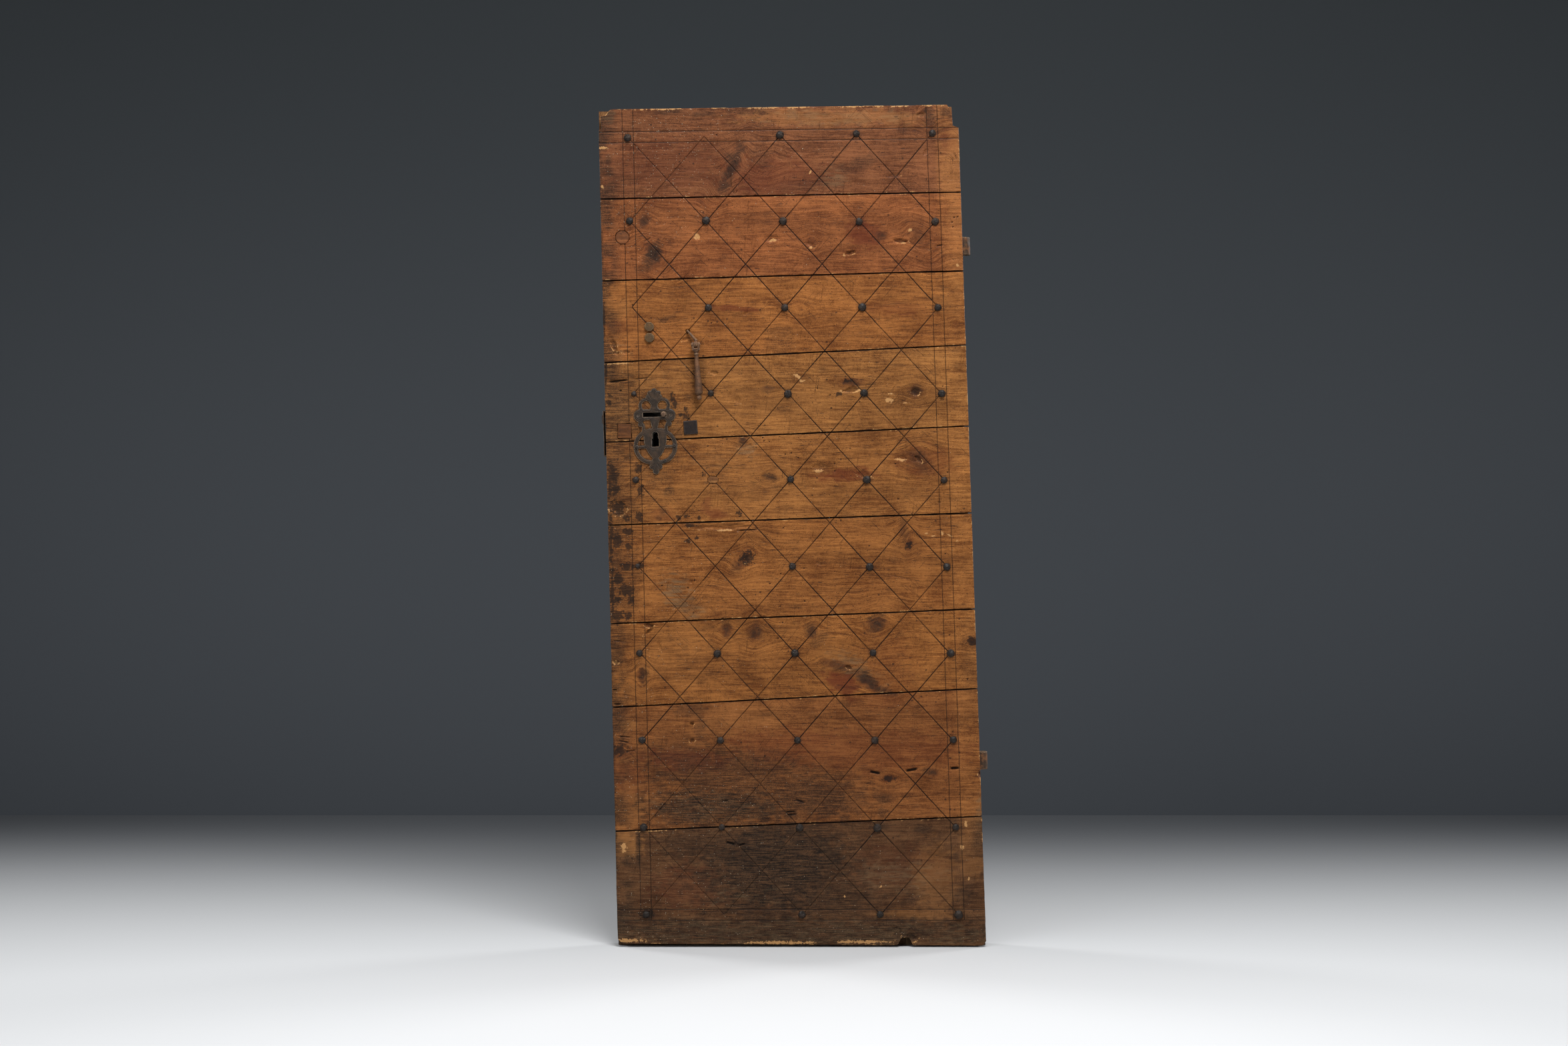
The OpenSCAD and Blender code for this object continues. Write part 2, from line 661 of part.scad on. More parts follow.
// Drop handle on its staple
module handle_staple() hung() color("dimgray") {
    foot = [handle_x - staple_side, -staple_lift, handle_z + staple_up];
    pin = [handle_x, -pin_off, handle_z];
    bend = pin + [0, staple_bend_in, staple_bend_up];
    difference() {
        union() {
            at_pin() rotate([0, 90, 0]) cylinder(h = staple_eye_w, r = staple_eye_r, center = true);
            rod(pin, bend, staple_root_r, staple_root_r);
        }
        at_pin() rotate([0, 90, 0]) cylinder(h = staple_eye_w + 2 * over, r = pin_r + pin_fit, center = true);
    }
    rod(bend, foot, staple_root_r, staple_r);
    translate(bend) sphere(staple_root_r + staple_knee);
    translate(foot) sphere(staple_r + staple_knee);
    translate(foot) bar(staple_leg_w, 0, staple_lift + staple_leg);
}
ear_x = staple_eye_w / 2 + ear_gap;
module drop_profile() polygon([[0, -yoke_top], [yoke_neck_r, -yoke_top], [yoke_neck_r, -collar_drop],
    [collar_r, -collar_drop - collar_h / 4], [collar_r, -collar_drop - collar_h * 3 / 4],
    [yoke_neck_r, -collar_drop - collar_h], [drop_r, -drop_len + drop_shoulder],
    [drop_r * 3 / 4, -drop_len + drop_shoulder / 4], [drop_neck_r, -drop_len],
    [drop_neck_r, -drop_len - ball_r], [0, -drop_len - ball_r]]);
module drop_handle() hung() at_pin() color("sienna") difference() {
    union() {
        for (s = [-1, 1]) {
            translate([s * (ear_x + ear_t / 2), 0, 0]) rotate([0, 90, 0])
                cylinder(h = ear_t, r = ear_r, center = true);
            translate([s * (ear_x + ear_t / 2) - ear_t / 2, -ear_r, -yoke_top - yoke_h / 2])
                cube([ear_t, 2 * ear_r, yoke_top + yoke_h / 2]);
        }
        intersection() {
            translate([0, 0, -yoke_top - yoke_h]) cylinder(h = yoke_h, r1 = yoke_foot_r, r2 = ear_x + ear_t);
            translate([-ear_x - ear_t, -ear_r, -yoke_top - yoke_h])
                cube([2 * (ear_x + ear_t), 2 * ear_r, yoke_h]);
        }
        rotate_extrude() drop_profile();
        translate([0, 0, ball_r - drop_l]) sphere(ball_r);
    }
    rotate([0, 90, 0]) cylinder(h = 2 * (ear_x + ear_t + over), r = pin_r + pin_fit / 2, center = true);
}
module handle_pin() hung() at_pin() color("gray") rotate([0, 90, 0]) {
    cylinder(h = 2 * (ear_x + ear_t), r = pin_r, center = true);
    for (s = [-1, 1]) translate([0, 0, s * (ear_x + ear_t + pin_head_t / 2)])
        cylinder(h = pin_head_t, r = pin_head_r, center = true);
}

// Strap hinges: a rolled eye past the hinge edge, and a tapering strap across the planks
module strap_outline() {
    polygon([[0, -eye_h / 2], [0, eye_h / 2], [-strap_l, strap_tip_w / 2], [-strap_l, -strap_tip_w / 2]]);
    translate([-strap_l, 0]) circle(strap_end_r);
}
module strap_hinge(z) hung() color("dimgray") difference() {
    union() {
        slab(leaf_t, strap_t) translate([eye_x(z), z]) strap_outline();
        at_eye(z) cylinder(h = eye_h, r = eye_r, center = true);
    }
    at_eye(z) cylinder(h = eye_h + 2 * over, r = eye_bore_r, center = true);
    strap_nail_places(z) bar(strap_nail, leaf_t - over, strap_t + 2 * over);
}
module upper_hinge() strap_hinge(upper_eye_z);
module lower_hinge() strap_hinge(lower_eye_z);
module hinge_nails() hung() color("gray") for (z = [upper_eye_z, lower_eye_z]) strap_nail_places(z) {
    bar(strap_nail, board_t - strap_nail_bite, plank_t + strap_nail_bite + strap_t);
    peg(strap_nail_head_r, leaf_t + strap_t, strap_nail_head_h);
}

// Bolts with octagonal heads, and the wooden inlays
module octagon_bolts() hung() color("dimgray") bolt_places() {
    rotate([90, 0, 0]) rotate(180 / stud_bolt_sides)
        cylinder(h = stud_bolt_head_h, r = stud_bolt_w / 2, $fn = stud_bolt_sides);
    bar(stud_bolt_shank, 0, leaf_t);
    peg(stud_bolt_end_r, leaf_t, stud_bolt_end_h);
}
module round_bung() hung() color("burlywood") bung_place() peg(bung_r, bung_sunk, bung_d - bung_sunk);
module square_patch() hung() color("burlywood") patch_place() bar_box(patch_w, patch_h, 0, patch_d);
module nail_plug() hung() color("burlywood") plug_place() slab(0, plug_d) plug_outline(0);

front_board_1();
front_board_2();
front_board_3();
front_board_4();
front_board_5();
front_board_6();
front_board_7();
front_board_8();
front_board_9();
back_plank_1();
back_plank_2();
back_plank_3();
back_plank_4();
back_plank_5();
forged_nails();
lock_plate();
plate_pins();
lock_case();
lock_case_nails();
lock_stay_bolt();
latch_bolt();
latch_knob();
dead_bolt();
key_pin();
bolt_spring();
handle_staple();
drop_handle();
handle_pin();
upper_hinge();
lower_hinge();
hinge_nails();
octagon_bolts();
round_bung();
square_patch();
nail_plug();
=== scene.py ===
import math

import bmesh
import bpy
import numpy as np
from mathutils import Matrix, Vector
from mathutils.kdtree import KDTree


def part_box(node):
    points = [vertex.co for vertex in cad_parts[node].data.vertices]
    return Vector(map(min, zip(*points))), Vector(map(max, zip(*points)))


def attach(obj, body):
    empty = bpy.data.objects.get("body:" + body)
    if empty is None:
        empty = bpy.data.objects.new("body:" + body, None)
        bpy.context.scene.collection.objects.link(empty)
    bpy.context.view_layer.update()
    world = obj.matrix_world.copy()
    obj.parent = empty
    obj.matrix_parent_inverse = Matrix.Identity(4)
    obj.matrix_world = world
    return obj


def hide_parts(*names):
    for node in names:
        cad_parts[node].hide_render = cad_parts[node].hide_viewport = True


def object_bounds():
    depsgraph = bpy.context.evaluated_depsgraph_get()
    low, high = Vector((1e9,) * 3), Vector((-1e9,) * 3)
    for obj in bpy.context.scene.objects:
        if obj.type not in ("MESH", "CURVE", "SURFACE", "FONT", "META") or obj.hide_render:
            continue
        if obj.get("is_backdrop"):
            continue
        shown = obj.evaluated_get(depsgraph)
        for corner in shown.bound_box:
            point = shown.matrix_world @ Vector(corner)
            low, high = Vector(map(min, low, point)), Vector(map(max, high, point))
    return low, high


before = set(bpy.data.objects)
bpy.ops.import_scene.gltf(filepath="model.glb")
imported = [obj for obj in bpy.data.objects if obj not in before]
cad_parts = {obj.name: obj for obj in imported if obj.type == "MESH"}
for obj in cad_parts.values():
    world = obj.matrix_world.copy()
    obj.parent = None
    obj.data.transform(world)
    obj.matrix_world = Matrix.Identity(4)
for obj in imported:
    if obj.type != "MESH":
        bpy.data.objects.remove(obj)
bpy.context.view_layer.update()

# Front boards: nine level planks of old softwood, planed by hand and nailed to the upright planks behind.
# Their faces carry the scribed diamond lattice, and the knots, gouges, burns, soot and wax of long use.
# Part of their colour is painted light: shade along the lock edge, round the lock plate and in the gouges,
# highlights on the arrises, the top edge and the gouge rims.
PIXEL = 0.00148
FOOT_PIXEL = (1202.2, 1420.0)
LEAF_FOOT = (-0.402174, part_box("back_plank_3")[0].z)
FACE_Y, INNER_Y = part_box("front_board_5")[0].y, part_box("front_board_5")[1].y
BOARD_STEP = 0.0018
WALL_ROWS = (0.05, 0.35, 0.7, 1.0)
FACE_ONLY = ("pale", "blot", "line", "knot", "fleck", "tan")
BAND_WIDTH = 0.024
DIAGONALS_A_METRE = 7.79


def photo_x(px):
    """Place across the leaf of a column of the photograph."""
    return (px - FOOT_PIXEL[0]) * PIXEL + LEAF_FOOT[0]


def photo_z(py):
    """Height of a row of the photograph."""
    return (FOOT_PIXEL[1] - py) * PIXEL + LEAF_FOOT[1]


def smooth(t):
    """An even step from 0 to 1."""
    t = np.clip(t, 0, 1)
    return t * t * (3 - 2 * t)


def noise(x, z, size_x, size_z, seed, octaves=3):
    """Seeded noise from about -1 to 1, in cells of that size."""
    table = np.random.default_rng(seed).uniform(-1, 1, (256, 256))
    total, weight, u, v = 0, 1, x / size_x, z / size_z
    for _ in range(octaves):
        i, j = np.floor(u).astype(int), np.floor(v).astype(int)
        a, b = smooth(u - i), smooth(v - j)
        low = table[i % 256, j % 256] * (1 - a) + table[(i + 1) % 256, j % 256] * a
        high = table[i % 256, (j + 1) % 256] * (1 - a) + table[(i + 1) % 256, (j + 1) % 256] * a
        total = total + weight * (low * (1 - b) + high * b)
        u, v, weight = 2 * u + 17.3, 2 * v + 5.7, weight / 2
    return total * 0.75


def oval(x, z, mark):
    """How far out a point lies in a mark (px, py, half width, half height, turn), 1 at its rim."""
    px, py, half_w, half_h, turn = mark[:5]
    dx, dz = (x - photo_x(px)) / PIXEL, (z - photo_z(py)) / PIXEL
    c, s = math.cos(math.radians(turn)), math.sin(math.radians(turn))
    return np.hypot((dx * c + dz * s) / half_w, (dz * c - dx * s) / half_h)


def patches(x, z, marks, soft, rag, seed):
    """Strength of listed oval marks, each with its weight, with soft and ragged rims."""
    total = np.zeros_like(x)
    ragged = rag * noise(x, z, 0.012, 0.007, seed)
    for mark in marks:
        reach = 2 * max(mark[2], mark[3]) * PIXEL
        if photo_z(mark[1]) > z.min() - reach and photo_z(mark[1]) < z.max() + reach:
            total = np.maximum(total, mark[5] * smooth((1 - oval(x, z, mark) - ragged) / soft + 0.5))
    return total


def rims(x, z, marks):
    """Listed oval marks as cones: 1 in the middle, one half at the rim, 0 at twice the size."""
    total = np.zeros_like(x)
    for mark in marks:
        reach = 2 * max(mark[2], mark[3]) * PIXEL
        if photo_z(mark[1]) > z.min() - reach and photo_z(mark[1]) < z.max() + reach:
            total = np.maximum(total, 1 - 0.5 * oval(x, z, mark))
    return total


def corner(node, side, end):
    """A corner of a node's face: side -1 at the lock, end -1 at the foot."""
    steep = 3
    co = np.array([v.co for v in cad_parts[node].data.vertices])
    found = co[np.argmax(side * co[:, 0] + end * steep * co[:, 2])]
    return found[0], found[2]


def leaf_edge(side):
    """The leaf's straight edge on one side, as a function of the height."""
    x0, z0 = corner("front_board_8", side, -1)
    x1, z1 = corner("front_board_2", side, 1)
    return lambda z: x0 + (x1 - x0) * (z - z0) / (z1 - z0)


lock_edge, hinge_edge = leaf_edge(-1), leaf_edge(1)


def spread(length, step, arris=(0, 0.0006, 0.0014)):
    """Places along a length, a step apart, closer by the two arrises."""
    near = np.array(arris)
    inner = np.linspace(2 * arris[-1], length - 2 * arris[-1], max(int(length / step), 2))
    return np.concatenate([near, inner, length - near[::-1]])


def board_object(name, x, y, z, fields, back_y, split):
    """A closed board from a grid of its face: the face, four edges down to back_y and a flat back."""
    cols, rows = x.shape
    at = np.arange(cols * rows).reshape(cols, rows)
    ring = np.concatenate([at[:-1, 0], at[-1, :-1], at[:0:-1, -1], at[0, :0:-1]])
    co = np.stack([x, y, z], -1).reshape(-1, 3)
    walls = [co]
    for share in WALL_ROWS:
        row = co[ring].copy()
        row[:, 1] += (back_y - row[:, 1]) * share
        walls.append(row)
    loops = [ring] + [cols * rows + k * len(ring) + np.arange(len(ring)) for k in range(len(WALL_ROWS))]
    a, b, c, d = at[:-1, :-1], at[1:, :-1], at[1:, 1:], at[:-1, 1:]
    rising, falling = split
    quads = np.stack([a, b, c, d], -1)
    plain = ~(rising | falling)
    faces = quads[plain].tolist()
    risen, fallen = quads[rising & ~falling], quads[falling]
    faces += risen[:, [0, 1, 2]].tolist() + risen[:, [0, 2, 3]].tolist()
    faces += fallen[:, [0, 1, 3]].tolist() + fallen[:, [1, 2, 3]].tolist()
    for near, far in zip(loops, loops[1:]):
        faces += np.stack([near, far, np.roll(far, -1), np.roll(near, -1)], -1).tolist()
    faces.append(loops[-1][::-1].tolist())
    if back_y < co[:, 1].min():
        faces = [f[::-1] for f in faces]
    mesh = bpy.data.meshes.new(name)
    mesh.from_pydata(np.concatenate(walls).tolist(), [], faces)
    for key, values in fields.items():
        flat = values.reshape(cols * rows, -1)
        wall = flat[ring] * (0 if key in FACE_ONLY else 1)
        if key == "lattice":
            wall[:, 2] = 0
        flat = np.concatenate([flat] + [wall] * len(WALL_ROWS)).astype(np.float32)
        kind, part = ("FLOAT_COLOR", "color") if flat.shape[1] == 4 else ("FLOAT", "value")
        mesh.attributes.new(key, kind, "POINT").data.foreach_set(part, flat.ravel())
    mesh.polygons.foreach_set("use_smooth", np.ones(len(mesh.polygons), bool))
    mesh.set_sharp_from_angle(angle=math.radians(40))
    made = bpy.data.objects.new(name, mesh)
    bpy.context.scene.collection.objects.link(made)
    return made


def srgb(red, green, blue):
    """A colour as the eye reads it, 0 to 255, as the shader's linear colour."""
    parts = np.array([red, green, blue]) / 255
    return (*np.where(parts <= 0.04045, parts / 12.92, ((parts + 0.055) / 1.055) ** 2.4), 1.0)


def add(tree, kind, inputs=None, **settings):
    """A node of that kind, with its settings, and its inputs set or linked."""
    made = tree.nodes.new(kind)
    for key, value in settings.items():
        setattr(made, key, value)
    for key, value in (inputs or {}).items():
        if isinstance(value, bpy.types.NodeSocket):
            tree.links.new(value, made.inputs[key])
        else:
            made.inputs[key].default_value = value
    return made


def sums(tree, operation, a, b=0.0, c=0.0):
    """One step of arithmetic in a node tree."""
    return add(tree, "ShaderNodeMath", {0: a, 1: b, 2: c}, operation=operation).outputs[0]


def vectors(tree, operation, a, b, c=(0.0, 0.0, 0.0)):
    """One step of vector arithmetic in a node tree."""
    return add(tree, "ShaderNodeVectorMath", {0: a, 1: b, 2: c}, operation=operation).outputs[0]


def xyz(tree, x=0.0, y=0.0, z=0.0):
    """A vector from its three parts."""
    return add(tree, "ShaderNodeCombineXYZ", {0: x, 1: y, 2: z}).outputs[0]


def mixed(tree, share, a, b, kind="MIX"):
    """Colour a, with a share of colour b."""
    made = add(tree, "ShaderNodeMix", {0: share, 6: a, 7: b}, data_type="RGBA", blend_type=kind)
    return made.outputs[2]


def between(tree, value, low, high, to_low=0.0, to_high=1.0):
    """A value's smooth place between low and high."""
    made = add(tree, "ShaderNodeMapRange", {0: value, 1: low, 2: high, 3: to_low, 4: to_high},
               interpolation_type="SMOOTHSTEP")
    return made.outputs[0]


def field(tree, name):
    """A value that the mesh holds at each point."""
    return add(tree, "ShaderNodeAttribute", attribute_name=name).outputs["Fac"]


def noise_node(tree, place, scale, detail, rough=0.55):
    """Noise over a place, at that scale a metre."""
    return add(tree, "ShaderNodeTexNoise", {"Vector": place, "Scale": scale, "Detail": detail,
                                            "Roughness": rough}).outputs["Fac"]


def new_group(name, inputs, outputs):
    """An empty shader group with named float or vector sockets."""
    group = bpy.data.node_groups.new(name, "ShaderNodeTree")
    for way, sockets in (("INPUT", inputs), ("OUTPUT", outputs)):
        for key, kind in sockets.items():
            group.interface.new_socket(key, in_out=way, socket_type="NodeSocket" + kind)
    return group, group.nodes.new("NodeGroupInput"), group.nodes.new("NodeGroupOutput")


def wood_grain_group():
    """Grain of a softwood board: fibres, growth rings and pores, along one direction."""
    tree, given, out = new_group("wood_grain", {"Along": "Float", "Across": "Float", "Depth": "Float"},
                                 {"Fibre": "Float", "Rings": "Float", "Pores": "Float", "Streak": "Float"})
    along, across, depth = given.outputs[0], given.outputs[1], given.outputs[2]

    def stretched(long, wide, deep):
        parts = ((along, long), (across, wide), (depth, deep))
        return xyz(tree, *(sums(tree, "MULTIPLY", way, scale) for way, scale in parts))

    fibre = noise_node(tree, stretched(9.0, 150.0, 90.0), 1.0, 6.0, 0.60)
    warp = noise_node(tree, stretched(1.6, 9.0, 9.0), 1.0, 2.0)
    turns = sums(tree, "FRACT", sums(tree, "MULTIPLY_ADD", across, 95.0, sums(tree, "MULTIPLY", warp, 7.0)))
    ring = sums(tree, "MULTIPLY", between(tree, turns, 0.35, 0.93), between(tree, turns, 1.0, 0.93))
    pores = between(tree, noise_node(tree, stretched(120.0, 800.0, 400.0), 1.0, 2.0), 0.62, 0.74)
    streak = noise_node(tree, stretched(26.0, 420.0, 200.0), 1.0, 3.0, 0.62)
    for key, value in (("Fibre", fibre), ("Rings", ring), ("Pores", pores), ("Streak", streak)):
        tree.links.new(value, out.inputs[key])
    return tree


def flecks_group():
    """Small flecks, thrown over a surface where a mask lets them."""
    tree, given, out = new_group("flecks", {"Place": "Vector", "Scale": "Float", "Mask": "Float"},
                                 {"Fleck": "Float"})
    cells = add(tree, "ShaderNodeTexVoronoi", {"Vector": given.outputs[0], "Scale": given.outputs[1]})
    drawn = add(tree, "ShaderNodeSeparateColor", {0: cells.outputs["Color"]})
    chosen = sums(tree, "LESS_THAN", drawn.outputs[0], given.outputs[2])
    size = sums(tree, "MULTIPLY_ADD", drawn.outputs[1], 0.17, 0.06)
    near = between(tree, sums(tree, "DIVIDE", cells.outputs["Distance"], size), 1.2, 0.7)
    tree.links.new(sums(tree, "MULTIPLY", near, chosen), out.inputs[0])
    return tree


def scratches_group():
    """Fine straight scratches in one direction, here and there on a surface."""
    tree, given, out = new_group("scratches", {"Place": "Vector", "Turn": "Float"}, {"Scratch": "Float"})
    turned = add(tree, "ShaderNodeVectorRotate", {"Vector": given.outputs[0], "Angle": given.outputs[1]},
                 rotation_type="Y_AXIS").outputs[0]
    drawn = vectors(tree, "MULTIPLY", turned, (13.0, 30.0, 560.0))
    thin = between(tree, noise_node(tree, drawn, 1.0, 1.0), 0.64, 0.70)
    here = between(tree, noise_node(tree, turned, 19.0, 2.0), 0.54, 0.64)
    tree.links.new(sums(tree, "MULTIPLY", thin, here), out.inputs[0])
    return tree


wood_grain = wood_grain_group()
flecks = flecks_group()
scratches = scratches_group()


def new_material(name, roughness, metallic=0.0):
    """An empty material and its shader."""
    material = bpy.data.materials.new(name)
    material.use_nodes = True
    tree = material.node_tree
    shader = tree.nodes["Principled BSDF"]
    shader.inputs["Roughness"].default_value = roughness
    shader.inputs["Metallic"].default_value = metallic
    return material, tree, shader


def use_group(tree, group, **inputs):
    """A shader group in a material, with its named inputs."""
    made = add(tree, "ShaderNodeGroup", node_tree=group)
    for key, value in inputs.items():
        if isinstance(value, bpy.types.NodeSocket):
            tree.links.new(value, made.inputs[key])
        else:
            made.inputs[key].default_value = value
    return made


def scribed(tree):
    """Where the scribed lines run: the lattice and the double border, from places that the mesh holds."""
    lattice = add(tree, "ShaderNodeAttribute", attribute_name="lattice").outputs["Color"]
    diagonals = add(tree, "ShaderNodeSeparateColor", {0: lattice})
    near = sums(tree, "MINIMUM", sums(tree, "PINGPONG", diagonals.outputs[0], 0.5),
                sums(tree, "PINGPONG", diagonals.outputs[1], 0.5))
    near = sums(tree, "DIVIDE", near, DIAGONALS_A_METRE)
    cut = sums(tree, "MULTIPLY", between(tree, near, 0.0016, 0.0007), diagonals.outputs[2])
    border = add(tree, "ShaderNodeAttribute", attribute_name="border")
    sides = add(tree, "ShaderNodeSeparateColor", {0: border.outputs["Color"]})
    for way in ((sides.outputs[0], sides.outputs[1]), (sides.outputs[2], border.outputs["Alpha"])):
        off = [sums(tree, "ABSOLUTE", sums(tree, "SUBTRACT", side, 1.0)) for side in way]
        off = sums(tree, "SUBTRACT", sums(tree, "MINIMUM", off[0], off[1]), BAND_WIDTH / 2)
        groove = between(tree, sums(tree, "ABSOLUTE", off), 0.0013, 0.0004, 0.0, 0.8)
        cut = sums(tree, "MAXIMUM", cut, groove)
    return cut


def board_wood(name, along):
    """Handled softwood with stains and soot, painted by the marks that the mesh holds, painted shade and
    highlights among them, its grain along one axis.
    """
    material, tree, shader = new_material(name, 0.6)
    shader.inputs["Specular IOR Level"].default_value = 0.12
    place = add(tree, "ShaderNodeTexCoord").outputs["Object"]
    axes = add(tree, "ShaderNodeSeparateXYZ", {0: place})
    grain = use_group(tree, wood_grain, Along=axes.outputs[along], Across=field(tree, "ring"),
                      Depth=axes.outputs[1])
    fibre, rings, pores, streak = grain.outputs
    tint = add(tree, "ShaderNodeAttribute", attribute_name="tint").outputs["Color"]
    clouds = noise_node(tree, place, 13.0, 5.0, 0.58)
    mottle = noise_node(tree, place, 150.0, 4.0, 0.65)
    fine = noise_node(tree, place, 480.0, 3.0, 0.7)
    blend = sums(tree, "MULTIPLY_ADD", clouds, 1.2, -2.15)
    for part, share in ((fibre, 1.1), (streak, 1.2), (fine, 1.2), (mottle, 0.6)):
        blend = sums(tree, "MULTIPLY_ADD", part, share, blend)
    lit = mixed(tree, between(tree, blend, 0.0, 1.0), (0.42, 0.33, 0.26, 1.0), (1.46, 1.46, 1.40, 1.0))
    colour = mixed(tree, 1.0, tint, lit, "MULTIPLY")
    knot = field(tree, "knot")
    ring_share = sums(tree, "MULTIPLY_ADD", knot, 0.4, between(tree, clouds, 0.35, 0.65, 0.03, 0.20))
    colour = mixed(tree, sums(tree, "MULTIPLY", rings, ring_share), colour, srgb(80, 40, 20))
    colour = mixed(tree, sums(tree, "MULTIPLY", pores, 0.6), colour, srgb(46, 28, 17))
    colour = mixed(tree, field(tree, "red"), colour, srgb(92, 38, 20))
    colour = mixed(tree, field(tree, "grey"), colour, srgb(112, 90, 64))
    colour = mixed(tree, field(tree, "tan"), colour, srgb(182, 122, 66))
    ragged = sums(tree, "MULTIPLY_ADD", mottle, 1.9, sums(tree, "MULTIPLY_ADD", fine, 0.8, -1.35))
    colour = mixed(tree, between(tree, knot, 0.05, 0.8, 0.0, 0.4), colour, srgb(90, 46, 24))
    core = between(tree, sums(tree, "MULTIPLY_ADD", ragged, 0.7, knot), 0.50, 0.80, 0.0, 0.6)
    colour = mixed(tree, core, colour, srgb(46, 28, 19))
    scratched = 0.0
    for turn, share in ((0.09, 0.55), (-0.75, 0.45), (0.9, 0.45), (1.45, 0.4)):
        scratch = use_group(tree, scratches, Place=place, Turn=turn).outputs[0]
        colour = mixed(tree, sums(tree, "MULTIPLY", scratch, share), colour, srgb(48, 27, 17))
        scratched = sums(tree, "ADD", scratch, scratched)
    wander = add(tree, "ShaderNodeTexNoise", {"Vector": place, "Scale": 300.0}).outputs[1]
    bent = vectors(tree, "MULTIPLY_ADD", wander, (0.0022, 0.0022, 0.0022), place)
    pits = use_group(tree, flecks, Place=place, Scale=190.0, Mask=0.2).outputs[0]
    colour = mixed(tree, sums(tree, "MULTIPLY", pits, 0.75), colour, srgb(36, 23, 16))
    spots = use_group(tree, flecks, Place=bent, Scale=95.0, Mask=0.07).outputs[0]
    colour = mixed(tree, sums(tree, "MULTIPLY", spots, 0.7), colour, srgb(38, 24, 17))
    # Soot and stains darken the wood, with the painted shadow round the lock plate and the painted shade along
    # the lock edge.
    patchy = between(tree, sums(tree, "ADD", streak, fine), 1.22, 0.85, 0.5, 1.06)
    stain_and_shade = sums(tree, "MULTIPLY", field(tree, "soot_and_shade"), patchy)
    crusted = between(tree, sums(tree, "ADD", streak, mottle), 0.85, 1.15)
    soot_and_shade_colour = mixed(tree, crusted, srgb(25, 19, 14), srgb(52, 40, 30))
    colour = mixed(tree, stain_and_shade, colour, soot_and_shade_colour)
    # Burns, and the painted shade of the dark strip along the lock edge.
    burnt_and_edge_shaded = between(tree, sums(tree, "ADD", field(tree, "blot"), ragged), 0.46, 0.66, 0.0, 0.82)
    colour = mixed(tree, burnt_and_edge_shaded, colour, srgb(28, 21, 17))
    # Pale: bare wood of chips and rubbed arrises, with painted highlights on the arrises, board 1's top edge
    # and the gouges' lower rims.
    bare_and_lit = between(tree, sums(tree, "ADD", field(tree, "pale"), ragged), 0.43, 0.62, 0.0, 0.8)
    colour = mixed(tree, bare_and_lit, colour, srgb(190, 142, 90))
    lying = add(tree, "ShaderNodeMapping", {"Vector": place, "Rotation": (0.0, 0.22, 0.0),
                                            "Scale": (0.16, 1.0, 1.0)})
    nicks = use_group(tree, flecks, Place=lying.outputs[0], Scale=230.0, Mask=0.14).outputs[0]
    colour = mixed(tree, sums(tree, "MULTIPLY", nicks, 0.6), colour, srgb(40, 25, 16))
    cut = scribed(tree)
    broken = sums(tree, "MULTIPLY", cut, between(tree, mottle, 0.30, 0.55, 0.70, 0.96))
    dark = sums(tree, "MAXIMUM", broken, between(tree, field(tree, "line"), 0.15, 0.70, 0.0, 0.94))
    colour = mixed(tree, dark, colour, srgb(22, 15, 11))
    white = use_group(tree, flecks, Place=bent, Scale=250.0, Mask=field(tree, "fleck")).outputs[0]
    colour = mixed(tree, sums(tree, "MULTIPLY", white, 0.8), colour, srgb(186, 170, 146))
    tree.links.new(colour, shader.inputs["Base Color"])
    waxed = between(tree, mottle, 0.3, 0.7, 0.46, 0.62)
    gloss = sums(tree, "MULTIPLY_ADD", field(tree, "soot_and_shade"), 0.12, waxed)
    tree.links.new(gloss, shader.inputs["Roughness"])
    height = sums(tree, "ADD", streak, sums(tree, "ADD", mottle, fibre))
    height = sums(tree, "MULTIPLY_ADD", pores, -0.6, height)
    for part in (nicks, pits, scratched, core):
        height = sums(tree, "MULTIPLY_ADD", part, -0.8, height)
    bump = add(tree, "ShaderNodeBump", {"Strength": 0.65, "Distance": 0.0008, "Height": height})
    tree.links.new(bump.outputs[0], shader.inputs["Normal"])
    return material


BOARD_TONES = [srgb(*tone) for tone in (
    (112, 68, 41), (130, 77, 42), (135, 84, 41), (134, 88, 45), (135, 87, 44), (132, 83, 41), (133, 84, 41),
    (120, 74, 38), (90, 61, 38))]
MARGIN_TONE = srgb(160, 106, 56)
